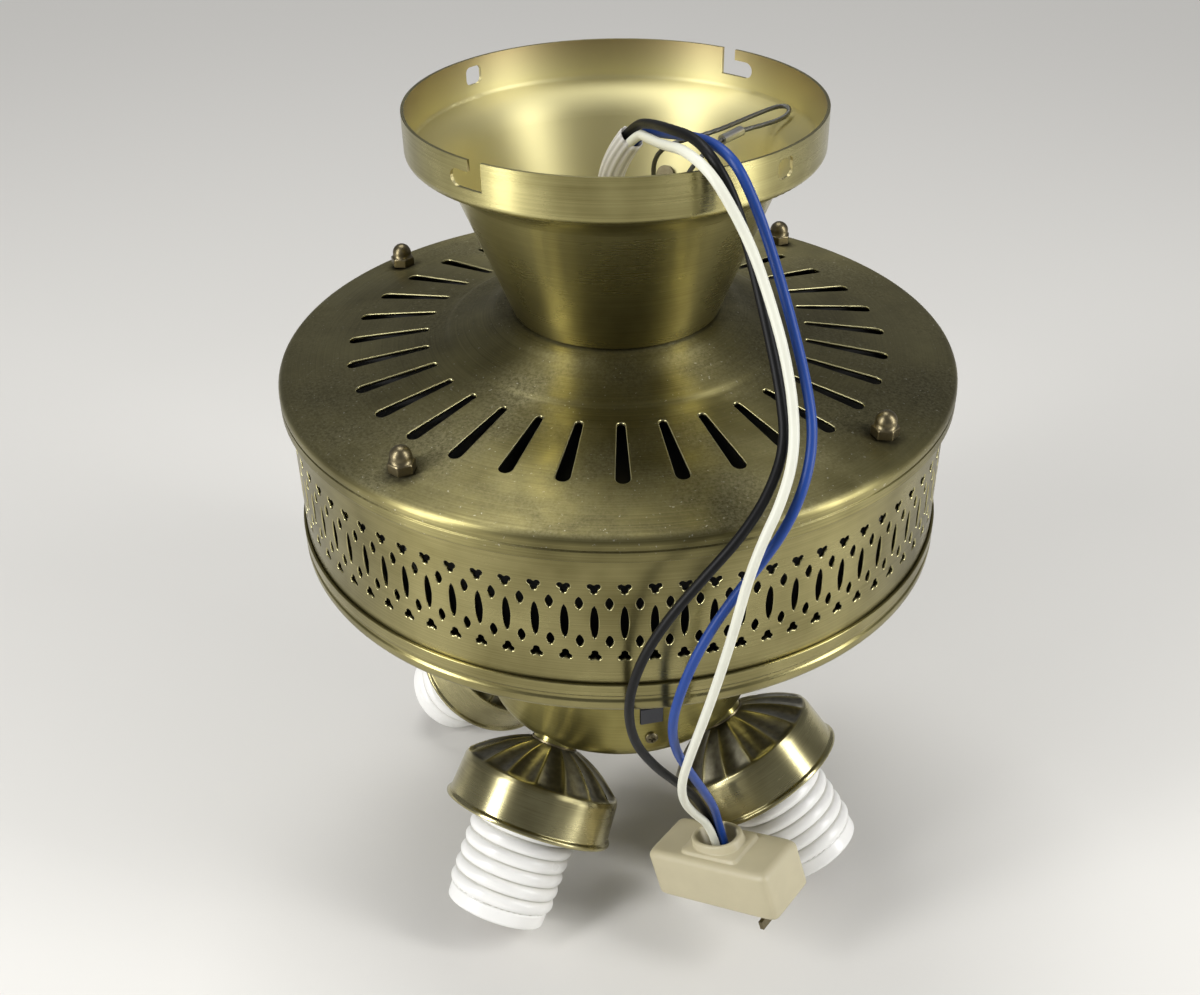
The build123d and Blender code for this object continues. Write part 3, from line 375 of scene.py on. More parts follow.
def rounded(points, radius, steps=4):
    """An outline whose inner corners become arcs: each arc starts and ends at equal distances from its
    corner, and its points follow a quadratic curve drawn toward it."""
    points = np.asarray(points, float)
    share = np.linspace(0, 1, steps + 1)[:, None]
    made = [points[:1]]
    for before, corner, after, reach in zip(points, points[1:], points[2:], radius):
        toward = (before - corner) / np.linalg.norm(before - corner)
        away = (after - corner) / np.linalg.norm(after - corner)
        made.append(bent(corner + toward * reach, corner, corner + away * reach, share))
    made.append(points[-1:])
    return np.concatenate(made)


def lengths(outline):
    """The distance run along an outline at each of its points."""
    return np.concatenate([[0], np.cumsum(np.linalg.norm(np.diff(outline, axis=0), axis=1))])


def held(outline, reach=0.25):
    """An outline with a point added a short way from both ends of each long run, so that its shading
    stays flat."""
    outline = np.asarray(outline, float)
    run = np.diff(outline, axis=0)
    length = np.linalg.norm(run, axis=1)[:, None]
    share = np.where(length > 4 * reach, reach / np.maximum(length, reach), 0)
    pieces = np.stack([outline[:-1], outline[:-1] + run * share, outline[1:] - run * share], axis=1)
    return np.concatenate([pieces.reshape(-1, 2), outline[-1:]])


def turned(outline, azimuths):
    """An outline of radius and height carried round the fan's axis, with u round it and v along the
    outline."""
    outline = held(outline)
    radius, height = outline[:, 0, None], outline[:, 1, None]
    angle = np.radians(azimuths)[None, :]
    uv = stacked(angle * np.mean(radius), lengths(outline)[:, None])
    return stacked(radius * np.sin(angle), -radius * np.cos(angle), height), uv


def lamp_turned(azimuth, radius, distance, angles):
    """Points at a radius from a lamp's axis and a distance along it, both arrays over rows and angles."""
    a = radians(azimuth)
    out = np.array([sin(a), -cos(a), 0])
    side = np.array([cos(a), sin(a), 0])
    along = out * sin(LAMP_TILT) - np.array([0, 0, cos(LAMP_TILT)])
    third = np.cross(along, side)
    start = out * LAMP_START[0] + np.array([0, 0, LAMP_START[1]])
    around = side * np.cos(angles)[..., None] + third * np.sin(angles)[..., None]
    return start + along * distance[..., None] + around * radius[..., None]


# Materials

def soiled(tree, solid, base, rough, shades):
    """Mottled grey soil that dulls a piece's hollows and leaves its ridges clean."""
    clean = add(tree, "Attribute", output="Fac", attribute_name="relief")
    mottle = add(tree, "TexNoise", {"Vector": solid, "Scale": 1 / SOIL_GRAIN, "Detail": 4.0})
    film = add(tree, "Mix", {0: mottle, 6: colour(shades[0]), 7: colour(shades[1])}, 2, data_type="RGBA")
    base = add(tree, "Mix", {0: clean, 6: film, 7: base}, 2, data_type="RGBA")
    return base, add(tree, "Mix", {0: clean, 2: 0.36, 3: rough})


def dull_inside(tree, solid, base, rough, shades):
    """The unlacquered inside of a bell: pale and dull, and darker toward its rim at height 0. A face is
    inside where its normal points to the axis."""
    level = add(tree, "VectorMath", {0: solid, 1: (1, 1, 0)}, operation="MULTIPLY")
    outward = add(tree, "VectorMath", {0: level}, operation="NORMALIZE")
    normal = add(tree, "TexCoord", output="Normal")
    facing = add(tree, "VectorMath", {0: normal, 1: outward}, "Value", operation="DOT_PRODUCT")
    within = add(tree, "Math", {0: facing, 1: 0.0}, operation="LESS_THAN")
    height = add(tree, "SeparateXYZ", {"Vector": solid}, "Z")
    lower = add(tree, "MapRange", {"Value": height, "From Min": 0.0, "From Max": -11.0})
    pale = add(tree, "Mix", {0: lower, 6: colour(shades[0]), 7: colour(shades[1])}, 2, data_type="RGBA")
    base = add(tree, "Mix", {0: within, 6: base, 7: pale}, 2, data_type="RGBA")
    return base, add(tree, "Mix", {0: within, 2: rough, 3: 0.58})


def dusty(tree, solid, base, rough, most):
    """Dust in drifts on what faces up: grainy, dull and greyer than the metal, with scattered pale specks."""
    drift = add(tree, "TexNoise", {"Vector": solid, "Scale": 1 / DUST_DRIFT, "Detail": 5.0, "Roughness": 0.6})
    patchy = add(tree, "MapRange", {"Value": drift, "From Min": 0.36, "From Max": 0.64, "To Max": most})
    upward = add(tree, "SeparateXYZ", {"Vector": add(tree, "TexCoord", output="Normal")}, "Z")
    lies = add(tree, "MapRange", {"Value": upward, "From Min": 0.45, "From Max": 0.9})
    film = add(tree, "Math", {0: patchy, 1: lies}, operation="MULTIPLY")
    grain = add(tree, "TexNoise", {"Vector": solid, "Scale": 1 / DUST_GRAIN, "Detail": 3.0, "Roughness": 0.7})
    mixed = add(tree, "MapRange", {"Value": grain, "From Min": 0.36, "From Max": 0.64})
    grey = add(tree, "Mix", {0: mixed, 6: colour("#4E4A36"), 7: colour("#837E62")}, 2, data_type="RGBA")
    base = add(tree, "Mix", {0: film, 6: base, 7: grey}, 2, data_type="RGBA")
    grit = add(tree, "TexNoise", {"Vector": solid, "Scale": 1 / DUST_SPECK, "Detail": 2.0})
    specks = add(tree, "MapRange", {"Value": grit, "From Min": 0.69, "From Max": 0.75, "To Max": 0.6})
    base = add(tree, "Mix", {0: specks, 6: base, 7: colour("#C9C5B2")}, 2, data_type="RGBA")
    return base, add(tree, "Mix", {0: film, 2: rough, 3: 0.68})


def nut_shade_ring(tree, solid, base, rough):
    """Painted shade and dirt round the four nuts, darkest where each nut sits: turned to the first nut and
    folded by absolute values, all four lie in one place, and the painted shade fades with the distance from
    it, ragged by noise."""
    level = add(tree, "VectorMath", {0: solid, 1: (1, 1, 0)}, operation="MULTIPLY")
    squared = add(tree, "VectorRotate", {"Vector": level, "Angle": -radians(NUT_AZIMUTHS[0])},
                  rotation_type="Z_AXIS")
    folded = add(tree, "VectorMath", {0: squared}, operation="ABSOLUTE")
    x, y, _ = add(tree, "SeparateXYZ", {"Vector": folded}).node.outputs
    far = add(tree, "Math", {0: x, 1: y}, operation="MAXIMUM")
    near = add(tree, "Math", {0: x, 1: y}, operation="MINIMUM")
    along = add(tree, "Math", {0: far, 1: NUT_CIRCLE}, operation="SUBTRACT")
    spot = add(tree, "CombineXYZ", {"X": along, "Y": near})
    off = add(tree, "VectorMath", {0: spot}, "Value", operation="LENGTH")
    ragged = add(tree, "TexNoise", {"Vector": solid, "Scale": 1 / SHADE_RING_RAGGED, "Detail": 4.0})
    edge = add(tree, "Math", {0: ragged, 1: 6.0, 2: off}, operation="MULTIPLY_ADD")
    shade_ring = add(tree, "MapRange", {"Value": edge, "From Min": 11.5, "From Max": 6.5, "To Max": 0.8})
    # the painted shade round the nuts, in a dark brown
    base = add(tree, "Mix", {0: shade_ring, 6: base, 7: colour("#2B2820")}, 2, data_type="RGBA")
    return base, add(tree, "Mix", {0: shade_ring, 2: rough, 3: 0.75})


def brass(name, light, dark, roughness, patch=30, about_axis=True, soil=None, rim=None, inside=None, dust=0.0,
          nut_shade=False):
    """Spun brass, brushed round its axis and lacquered: the eye sees fine lines round the piece,
    highlights drawn out across them, and brown patches where the lacquer has aged. Real lines are about
    0.05 mm apart and are drawn 0.5 mm apart so that they show. They follow the fan's axis, or else the
    piece's own u and v. Rims of holes get a painted highlight in the rim colour."""
    material, tree, shader = new_material(name, Metallic=1.0, Anisotropic=0.75, Anisotropic_Rotation=0.25)
    coords = add(tree, "TexCoord").node.outputs
    solid = add(tree, "VectorMath", {0: coords["Object"], "Scale": 1 / MM}, operation="SCALE")
    if about_axis:
        level = add(tree, "VectorMath", {0: solid, 1: (1, 1, 0)}, operation="MULTIPLY")
        radius = add(tree, "VectorMath", {0: level}, "Value", operation="LENGTH")
        x, y, z = add(tree, "SeparateXYZ", {"Vector": solid}).node.outputs
        turn = add(tree, "Math", {0: y, 1: x}, operation="ARCTAN2")
        slow = add(tree, "Math", {0: turn, 1: 0.3}, operation="MULTIPLY")
        place = add(tree, "CombineXYZ", {"X": radius, "Y": z, "Z": slow})
        tangent = add(tree, "Tangent", direction_type="RADIAL", axis="Z")
    else:
        u, v, _ = add(tree, "SeparateXYZ", {"Vector": coords["UV"]}).node.outputs
        slow = add(tree, "Math", {0: u, 1: 0.02}, operation="MULTIPLY")
        place = add(tree, "CombineXYZ", {"X": v, "Z": slow})
        tangent = add(tree, "Tangent", direction_type="UV_MAP", uv_map="surface")
    lines = add(tree, "TexNoise", {"Vector": place, "Scale": 1 / LINE_SPACING, "Detail": 3.0,
                                   "Roughness": 0.65})
    patches = add(tree, "TexNoise", {"Vector": solid, "Scale": 1 / patch, "Detail": 3.0, "Roughness": 0.5})
    blend = add(tree, "Math", {0: lines, 1: 0.45, 2: patches}, operation="MULTIPLY_ADD")
    bright = add(tree, "MapRange", {"Value": blend, "From Min": 0.42, "From Max": 1.0})
    base = add(tree, "Mix", {0: bright, 6: colour(dark), 7: colour(light)}, 2, data_type="RGBA")
    rough = add(tree, "MapRange", {"Value": bright, "To Min": roughness + 0.08, "To Max": roughness - 0.05})
    if soil:
        base, rough = soiled(tree, solid, base, rough, soil)
    # painted highlight: the rims of holes are lightened toward the rim colour
    if rim:
        rim_highlight_share = add(tree, "Attribute", output="Fac", attribute_name="relief")
        base = add(tree, "Mix", {0: rim_highlight_share, 6: base, 7: colour(rim)}, 2, data_type="RGBA")
    if inside:
        base, rough = dull_inside(tree, solid, base, rough, inside)
    if dust:
        base, rough = dusty(tree, solid, base, rough, dust)
    # painted shade round the nuts on the top cover
    if nut_shade:
        base, rough = nut_shade_ring(tree, solid, base, rough)
    bump = add(tree, "Bump", {"Height": lines, "Strength": 0.2, "Distance": 0.02 * MM})
    feed(tree, shader, Base_Color=base, Roughness=rough, Normal=bump, Tangent=tangent)
    return material


def plain_metal(name, code, roughness, grain=1.2):
    """Plated or bare metal: a faint cloudy grain that dims the colour and dulls the shine in spots."""
    material, tree, shader = new_material(name, Metallic=1.0)
    place = add(tree, "TexCoord", output="Object")
    cloud = add(tree, "TexNoise", {"Vector": place, "Scale": 1 / (grain * MM), "Detail": 4.0})
    base = add(tree, "Mix", {0: cloud, 6: colour(code), 7: colour(code, 0.6)}, 2, data_type="RGBA")
    rough = add(tree, "MapRange", {"Value": cloud, "To Min": roughness - 0.08, "To Max": roughness + 0.12})
    feed(tree, shader, Base_Color=base, Roughness=rough)
    return material


def plastic(name, code, roughness, grain, groove=None, gloss=0.5):
    """Moulded plastic: a fine grain that breaks up the gloss, and painted shade in its grooves where it has
    any.
    """
    material, tree, shader = new_material(name, IOR=1.5, Specular_IOR_Level=gloss)
    place = add(tree, "TexCoord", output="Object")
    fine = add(tree, "TexNoise", {"Vector": place, "Scale": 1 / (grain * MM), "Detail": 2.0})
    cloud = add(tree, "TexNoise", {"Vector": place, "Scale": 1 / (PLASTIC_CLOUD * MM), "Detail": 4.0})
    base = add(tree, "Mix", {0: cloud, 6: colour(code), 7: colour(code, 0.86)}, 2, data_type="RGBA")
    # painted shade: grooves take the darker groove colour, crests keep the base
    if groove:
        crest = add(tree, "Attribute", output="Fac", attribute_name="relief")
        base = add(tree, "Mix", {0: crest, 6: colour(groove), 7: base}, 2, data_type="RGBA")
    rough = add(tree, "MapRange", {"Value": cloud, "To Min": roughness - 0.05, "To Max": roughness + 0.1})
    bump = add(tree, "Bump", {"Height": fine, "Strength": 0.12, "Distance": 0.05 * MM})
    feed(tree, shader, Base_Color=base, Roughness=rough, Normal=bump)
    return material


# Brass: bright on the canopy and the cup, browner on the housing, dusty on top and soiled in the flutes
canopy_brass = brass("brushed_brass_canopy", "#BDB580", "#80784C", 0.27, patch=26,
                     inside=("#B3A47A", "#DAD2A0"))
# the top cover gets painted shade round its nuts and a painted highlight on the rims of its slots
cover_brass = brass("aged_brass_cover", "#9C9464", "#5A5435", 0.36, rim="#D8D1A2", dust=0.75, nut_shade=True)
# the band gets a painted highlight on the rims of its holes
band_brass = brass("brushed_brass_band", "#A0986A", "#665F3A", 0.29, rim="#D6CF9E")
pan_brass = brass("brushed_brass_pan", "#A0986A", "#665F3A", 0.29)
cup_brass = brass("brushed_brass_cup", "#B5AC6C", "#797042", 0.29)
holder_brass = brass("antique_brass_holder", "#C0B88C", "#7E7756", 0.27, patch=20, about_axis=False,
                     soil=("#47443A", "#8E8A78"))

# Other metals: brown and half bright where plated or tarnished, grey where bare
nut_bronze = plain_metal("plated_bronze_nut", "#7C7258", 0.36)
zinc = plain_metal("zinc_plated_steel", "#A9A9A4", 0.4)
screw_steel = plain_metal("tarnished_steel_screw", "#7C745C", 0.36)
core_steel = plain_metal("bare_core_steel", "#55534F", 0.5)
copper = plain_metal("enamelled_copper", "#8A4E2A", 0.4)
socket_brass = plain_metal("bright_socket_brass", "#C9A75B", 0.3)
casting = plain_metal("bare_die_casting", "#6C6B68", 0.5)
rope_steel = plain_metal("steel_strands", "#6F6F6B", 0.42, 0.4)
ferrule_metal = plain_metal("crimped_aluminium", "#C9C9C6", 0.3)

# Plastics, rubber and enamel: glossy on the sleeves, satin on the wires and mouldings, dull on the rubber
enamel = plastic("black_enamel", "#141414", 0.4, 0.4)
# the sleeves and the wires' sleeving take painted shade in their grooves, in their second colour
white_plastic = plastic("glossy_white_plastic", "#F1F0EC", 0.28, 0.4, "#B9B6AA")
beige_plastic = plastic("moulded_beige_plastic", "#BDB495", 0.4, 0.25)
black_plastic = plastic("moulded_black_plastic", "#1B1B1C", 0.5, 0.3)
knob_plastic = plastic("moulded_grey_plastic", "#34353A", 0.45, 0.3)
ivory_plastic = plastic("moulded_ivory_plastic", "#D8D2BC", 0.5, 0.3)
rubber = plastic("black_rubber", "#1A1A1A", 0.75, 0.3)
sheath_vinyl = plastic("soft_white_sleeving", "#DEDBD4", 0.5, 0.5, "#9C988F")
white_vinyl = plastic("ivory_wire_vinyl", "#E0E0D0", 0.38, 0.6)
black_vinyl = plastic("black_wire_vinyl", "#09090A", 0.46, 0.6, gloss=0.22)
blue_vinyl = plastic("blue_wire_vinyl", "#1A408C", 0.4, 0.6, gloss=0.35)


# Housing

def frame_path(across, up):
    """The points where lines at these places meet a rectangle's edge, anticlockwise from its lower left
    corner and back to it."""
    bottom = stacked(across, up[0])
    right = stacked(across[-1], up)
    top = stacked(across[::-1], up[-1])
    left = stacked(across[0], up[::-1])
    return np.concatenate([bottom, right[1:], top[1:], left[1:]])


def pierced_rings(rim, edges):
    """Rings of points from a cell's rim to its hole, over the hole's rounded edge, down its wall and back
    behind the sheet, as place, depth and how much painted highlight each ring gets. The hole's outline
    comes at four sizes."""
    outer, wide, middle, hole = edges
    place = np.stack([rim, outer, wide, middle, hole, hole, rim])
    depth = np.array([0, 0, 0, 0.3 * EDGE, EDGE, SHEET, SHEET])
    # how much painted highlight each ring gets: most on the rolled edge
    rim_highlight = np.array([0.0, 0.0, 0.1, 0.65, 0.5, 0.0, 0.0])
    return place, depth[:, None], rim_highlight[:, None]


def polar_hole(rim, centre, outline):
    """A hole whose distance from its centre depends on the angle: each rim point's ray is cut at that
    distance."""
    ray = rim - np.asarray(centre)
    direction = ray / np.linalg.norm(ray, axis=1)[:, None]
    reach = outline(np.arctan2(ray[:, 1], ray[:, 0]))[:, None]
    return pierced_rings(rim, [centre + direction * (reach + extra) for extra in HOLE_EDGES])


def trefoil(points_up):
    """Three round lobes, 120 degrees apart: the furthest that a ray goes in any of the circles."""
    def outline(angle):
        turns = np.radians([90, 210, 330] if points_up else [270, 30, 150])
        off = angle[:, None] - turns[None, :]
        inside = TREFOIL_LOBE ** 2 - (TREFOIL_SPREAD * np.sin(off)) ** 2
        reach = TREFOIL_SPREAD * np.cos(off) + np.sqrt(np.maximum(inside, 0))
        return np.where(inside > 0, reach, 0).max(axis=1).clip(min=TREFOIL_WAIST)
    return outline


def lens_hole(half_wide, half_tall, power):
    """A rounded diamond, lens or block: (x / a) to a power plus (y / b) to that power is one."""
    def outline(angle):
        total = (np.abs(np.cos(angle)) / half_wide) ** power + (np.abs(np.sin(angle)) / half_tall) ** power
        return total ** (-1 / power)
    return outline


def on_band(rings, columns):
    """Rings on the band's flat pattern, carried round it at each column: x runs round it and y up it."""
    place, depth, rim_highlight = rings
    angle = np.radians(columns)[:, None, None] + place[..., 0] / BAND_RADIUS
    radius = BAND_RADIUS - depth
    return stacked(radius * np.sin(angle), -radius * np.cos(angle), ROWS_MIDDLE + place[..., 1]), 0, rim_highlight


def make_band():
    """The band: a strip round each column with two trefoils and a slim lens, and strips between them with two
    diamonds. Strips share the levels at which their edges have points, so that the sheet has no cracks."""
    pitch = 2 * np.pi * BAND_RADIUS / COLUMN_COUNT
    columns = COLUMN_PHASE + 360 / COLUMN_COUNT * np.arange(COLUMN_COUNT)
    between = columns + 180 / COLUMN_COUNT
    levels = np.concatenate([-BAND_LEVELS[::-1], [0], BAND_LEVELS])
    wide = np.linspace(-COLUMN_WIDTH / 2, COLUMN_WIDTH / 2, 5)
    narrow = np.linspace(-(pitch - COLUMN_WIDTH) / 2, (pitch - COLUMN_WIDTH) / 2, 5)

    def span(ends):
        return levels[(levels > min(ends) - 0.01) & (levels < max(ends) + 0.01)]

    def holes(strip, ends, middle, outline, azimuths):
        return on_band(polar_hole(frame_path(strip, span(ends)), (0, middle), outline), azimuths)

    inner, outer = DIAMOND_CELL
    grids = [holes(wide, (-LENS_CELL, LENS_CELL), 0, lens_hole(*LENS_HOLE), columns)]
    for side in (-1, 1):
        ends = (side * LENS_CELL, side * PATTERN_END)
        grids.append(holes(wide, ends, side * TREFOIL_HEIGHT, trefoil(side < 0), columns))
        ends = (side * inner, side * outer)
        grids.append(holes(narrow, ends, side * DIAMOND_HEIGHT, lens_hole(*DIAMOND_HOLE), between))
    for ends in ((-PATTERN_END, -outer), (-inner, inner), (outer, PATTERN_END)):
        flat = np.stack(np.meshgrid(narrow, span(ends)), axis=-1)
        grids += [on_band((flat, depth, 0), between) for depth in (0, SHEET)]
    turn = np.degrees(np.concatenate([wide[:-1], pitch / 2 + narrow[:-1]]) / BAND_RADIUS)
    azimuths = np.append((columns[:, None] + turn).ravel(), columns[0] + 360 + turn[0])
    front, back = BAND_RADIUS, BAND_RADIUS - SHEET
    for edge, end in ((ROWS_MIDDLE + PATTERN_END, BAND_TOP), (ROWS_MIDDLE - PATTERN_END, BAND_BOTTOM)):
        grids.append(turned([(front, edge), (front, end), (back, end), (back, edge)], azimuths))
    make_piece("pierced_band_sheet", grids, band_brass, "pierced_band")


def cone(radius):
    """The top cover's height at a radius."""
    slope = (CONE_OUTER[1] - CONE_INNER[1]) / (CONE_OUTER[0] - CONE_INNER[0])
    return CONE_INNER[1] + slope * (radius - CONE_INNER[0])


def make_cover():
    """The top cover: a cell round each slot between two turned rings, the inner one with a raised boss and
    the outer one with a rounded, grooved lip. A slot's outline has two straight sides and two round ends,
    and goes point for point with its cell's rim."""
    half = np.radians(180 / SLOT_COUNT)
    arc = np.linspace(-half, half, 9)
    run = np.linspace(*SLOT_CELL, 13)
    reach, swing = frame_path(run, arc).T
    rim = stacked(reach * np.cos(swing), reach * np.sin(swing))

    def slot(extra):
        small, large = SLOT_WIDTHS[0] / 2, SLOT_WIDTHS[1] / 2
        near, far = SLOT_SPAN[0] + small, SLOT_SPAN[1] - large
        t = np.linspace(0, 1, len(run))[:, None]
        turn = np.linspace(-np.pi / 2, np.pi / 2, len(arc))
        low = (1 - t) * [near, -small - extra] + t * [far, -large - extra]
        outer = stacked(far + (large + extra) * np.cos(turn), (large + extra) * np.sin(turn))
        inner = stacked(near - (small + extra) * np.cos(turn), (small + extra) * np.sin(turn))
        return np.concatenate([low, outer[1:], (low * [1, -1])[::-1][1:], inner[::-1][1:]])

    place, depth, rim_highlight = pierced_rings(rim, [slot(extra) for extra in HOLE_EDGES])
    azimuths = np.radians(SLOT_PHASE + 360 / SLOT_COUNT * np.arange(SLOT_COUNT))[:, None, None]
    out, side = place[..., 0], place[..., 1]
    points = stacked(out * np.sin(azimuths) + side * np.cos(azimuths),
                     side * np.sin(azimuths) - out * np.cos(azimuths), cone(np.hypot(out, side)) - depth)
    around = np.degrees(azimuths.ravel()[:, None] + arc[:-1]).ravel()
    around = np.append(around, around[0] + 360)
    near, far = SLOT_CELL
    under = [(near, cone(near) - SHEET), (57.0, -78.0), (44.0, -73.6), (40.0, COVER_TOP - SHEET)]
    boss = rounded([(COVER_BORE, COVER_TOP - SHEET), (COVER_BORE, COVER_TOP), (40.5, COVER_TOP),
                    (45.0, COVER_TOP - 2.2), (57.2, -76.9), (59.2, -78.2), (near, cone(near))],
                   (0.2, 2.0, 3.0, 0.9, 0.9))
    groove = LIP_RADIUS - LIP_GROOVE_DEPTH
    back = LIP_RADIUS - LIP_WALL
    lip = rounded([(far, cone(far)), (LIP_RADIUS, cone(LIP_RADIUS)), (LIP_RADIUS, LIP_GROOVE[0]),
                   (groove, LIP_GROOVE[1]), (groove, LIP_GROOVE[2]), (LIP_RADIUS, LIP_GROOVE[3]),
                   (LIP_RADIUS, LIP_BOTTOM), (back, LIP_BOTTOM), (back, -90.0), (113.0, cone(113.0) - SHEET),
                   (far, cone(far) - SHEET)], (2.8, 0.12, 0.12, 0.12, 0.12, 0.6, 0.3, 0.5, 0.5), 5)
    grids = [(points, 0, rim_highlight), turned(np.concatenate([under, boss]), around), turned(lip, around)]
    make_piece("top_cover_pressing", grids, cover_brass, "top_cover")


def make_pan():
    """The bottom cover: a turned pan with a rolled upper edge, a pressed groove and a round corner."""
    wall, top, floor, hole = PAN_RADIUS, PAN_TOP, PAN_FLOOR, PAN_HOLE
    outline = rounded([(wall - SHEET, top - 3.2), (wall - SHEET, top), (wall, top), (wall, top - 4.1),
                       (wall - 0.6, top - 4.8), (wall - 0.6, top - 6.0), (wall, top - 6.7), (wall, floor),
                       (hole, floor), (hole, floor + 3), (hole + SHEET, floor + 3),
                       (hole + SHEET, floor + SHEET), (wall - 2, floor + SHEET), (wall - 2, top - 6.7),
                       (wall - 1.7, top - 5.4), (wall - SHEET, top - 3.2)],
                      (0.4, 0.4, 0.3, 0.25, 0.25, 0.3, 3.2, 0.4, 0.4, 0.4, 0.4, 1.5, 0.3, 0.3), 5)
    grids = [turned(outline, np.linspace(0, 360, 241))]
    make_piece("bottom_cover_pan", grids, pan_brass, "bottom_cover")


def make_nuts():
    """Acorn nuts: a hexagon with its upper corners turned off, and a round dome on it. A row's distance
    from the axis is the smaller of the hexagon's and the row's own radius."""
    seat = cone(NUT_CIRCLE - NUT_DOME) + 0.1
    turn = np.linspace(0, 2 * np.pi, 73)
    hexagon = NUT_HALF_FLATS / np.cos((turn % (np.pi / 3)) - np.pi / 6)
    dome = np.radians(np.linspace(0, 90, 10))
    rows = np.concatenate([held([(0.0, 0.0), (4.6, 0.0), (4.6, 2.7), (3.8, 3.25), (3.55, 3.3)], 0.12),
                           stacked(NUT_DOME * np.cos(dome), NUT_DOME_BASE + NUT_DOME * np.sin(dome))])
    radius = np.minimum(rows[:, 0, None], hexagon)
    grids = []
    for azimuth in np.radians(NUT_AZIMUTHS):
        east, south = NUT_CIRCLE * sin(azimuth), -NUT_CIRCLE * cos(azimuth)
        grids.append(stacked(east + radius * np.cos(turn + azimuth), south + radius * np.sin(turn + azimuth),
                             seat + rows[:, 1, None]))
    make_piece("acorn_nut_set", grids, nut_bronze, "acorn_nuts")


make_band()
make_cover()
make_pan()
make_nuts()


# Lamp holders

def make_holder(number, azimuth):
    """A fluted dome over a smooth skirt. The dome's profile is a quadratic curve from its flat crown to its
    shoulder. Each flute is a hollow between two sharp ridges: it sinks by the depth times one minus the
    square of the distance from its middle, and that depth grows from nothing at the crown and ends short
    of the shoulder."""
    turn = np.linspace(0, 2 * np.pi, FLUTE_COUNT * 20 + 1)
    rise = np.linspace(0, 1, 41)[:, None]
    crown, bend, shoulder = np.array(DOME_CROWN), np.array(DOME_BEND), np.array(DOME_SHOULDER)
    dome = bent(crown, bend, shoulder, rise)
    across = 2 * ((turn * FLUTE_COUNT / (2 * np.pi)) % 1) - 1
    across[-1] = across[0]
    stop = np.clip((1 - rise) / 0.12, 0, 1)
    grow = np.clip(rise / 0.75, 0, 1) ** 0.8 * stop ** 2 * (3 - 2 * stop)
    sink = FLUTE_DEPTH * grow * (1 - across ** 2)
    ridge = np.clip((np.abs(across) - 0.74) / 0.2, 0, 1)
    clean = np.maximum(ridge * np.clip(rise / 0.12, 0, 1), np.clip((rise - 0.95) / 0.04, 0, 1))
    ahead = np.gradient(dome, axis=0)
    normal = stacked(-ahead[:, 1], ahead[:, 0]) / np.linalg.norm(ahead, axis=1)[:, None]
    inner = dome + DOME_WALL * normal
    lip = rounded([shoulder, (31.0, 26.4), (32.0, 40.2), (33.1, 40.9), (33.1, 42.4), (31.6, 42.4),
                   (30.9, 40.6), (29.0, 26.4)], (0.5, 0.3, 0.55, 0.7, 0.6, 0.4))
    skirt = held(np.concatenate([lip, inner[-3::-4], [(DOME_BORE, 13.6), (DOME_BORE, 12.0), crown]]))
    outside = np.where(skirt[:, 1:] > 14.0, 1.0, 0.0)
    angle = turn[None, :]
    fluted = lamp_turned(azimuth, dome[:, :1] - 0.6 * sink, dome[:, 1:] + 0.8 * sink, angle)
    smooth = lamp_turned(azimuth, skirt[:, :1], skirt[:, 1:], angle)
    grids = [
        (fluted, stacked(angle * 25, lengths(dome)[:, None]), clean),
        (smooth, stacked(angle * 30, 40 + lengths(skirt)[:, None]), outside),
    ]
    make_piece(f"fluted_holder_{number}", grids, holder_brass, f"shade_holder_{number}")


def make_sleeve(number, azimuth):
    """A white socket body: rounded rings whose radius swells as the root of a sine, a plain end collar and
    the bore."""
    rib_end = RIB_START + RIB_PITCH * RIB_COUNT
    along = np.linspace(RIB_START, rib_end, 16 * RIB_COUNT + 1)
    swell = np.sqrt(np.abs(np.sin(np.pi * (along - RIB_START) / RIB_PITCH)))
    start = [(0.0, SLEEVE_START), (18.2, SLEEVE_START), (RIB_ROOT, SLEEVE_START + 0.5)]
    ribs = stacked(RIB_ROOT + RIB_SWELL * swell, along)
    end = held(rounded([(RIB_ROOT, rib_end), (19.3, 74.3), (19.1, SLEEVE_END), (SLEEVE_BORE, SLEEVE_END),
                        (SLEEVE_BORE, 46.0), (12.0, 46.0), (12.0, 44.0), (0.0, 44.0)],
                       (0.3, 1.6, 0.9, 0.3, 0.2, 0.2), 6))[1:]
    outline = np.concatenate([start, ribs, end])
    # relief: the grooves between the ribs take painted shade
    relief = np.concatenate([np.ones(len(start)), np.clip(swell * 1.6, 0, 1), np.ones(len(end))])
    angle = np.linspace(0, 2 * np.pi, 97)[None, :]
    grids = [(lamp_turned(azimuth, outline[:, :1], outline[:, 1:], angle), 0, relief[:, None])]
    make_piece(f"ribbed_sleeve_{number}", grids, white_plastic, f"lamp_sleeve_{number}")


for number, azimuth in enumerate(LAMP_AZIMUTHS, start=1):
    make_holder(number, azimuth)
    make_sleeve(number, azimuth)


# Cords

def make_curve(name, route, diameter):
    """An open smooth spline with the route's points as its control points."""
    curve = bpy.data.curves.new(name, "CURVE")
    curve.dimensions = "3D"
    spline = curve.splines.new("NURBS")
    spline.points.add(len(route) - 1)
    spline.points.foreach_set("co", np.column_stack([np.array(route) * MM, np.ones(len(route))]).ravel())
    spline.order_u = 3
    spline.use_endpoint_u = True
    spline.resolution_u = 12
    curve.bevel_depth = diameter / 2 * MM
    curve.bevel_resolution = 7
    curve.use_fill_caps = True
    return curve


def centreline(route):
    """Points read from a route's own smooth spline, in millimetres."""
    curve = make_curve("line", route, 0)
    holder = bpy.data.objects.new("line", curve)
    mesh = bpy.data.meshes.new_from_object(holder)
    points = np.zeros(len(mesh.vertices) * 3)
    mesh.vertices.foreach_get("co", points)
    bpy.data.objects.remove(holder)
    bpy.data.curves.remove(curve)
    bpy.data.meshes.remove(mesh)
    return points.reshape(-1, 3) / MM


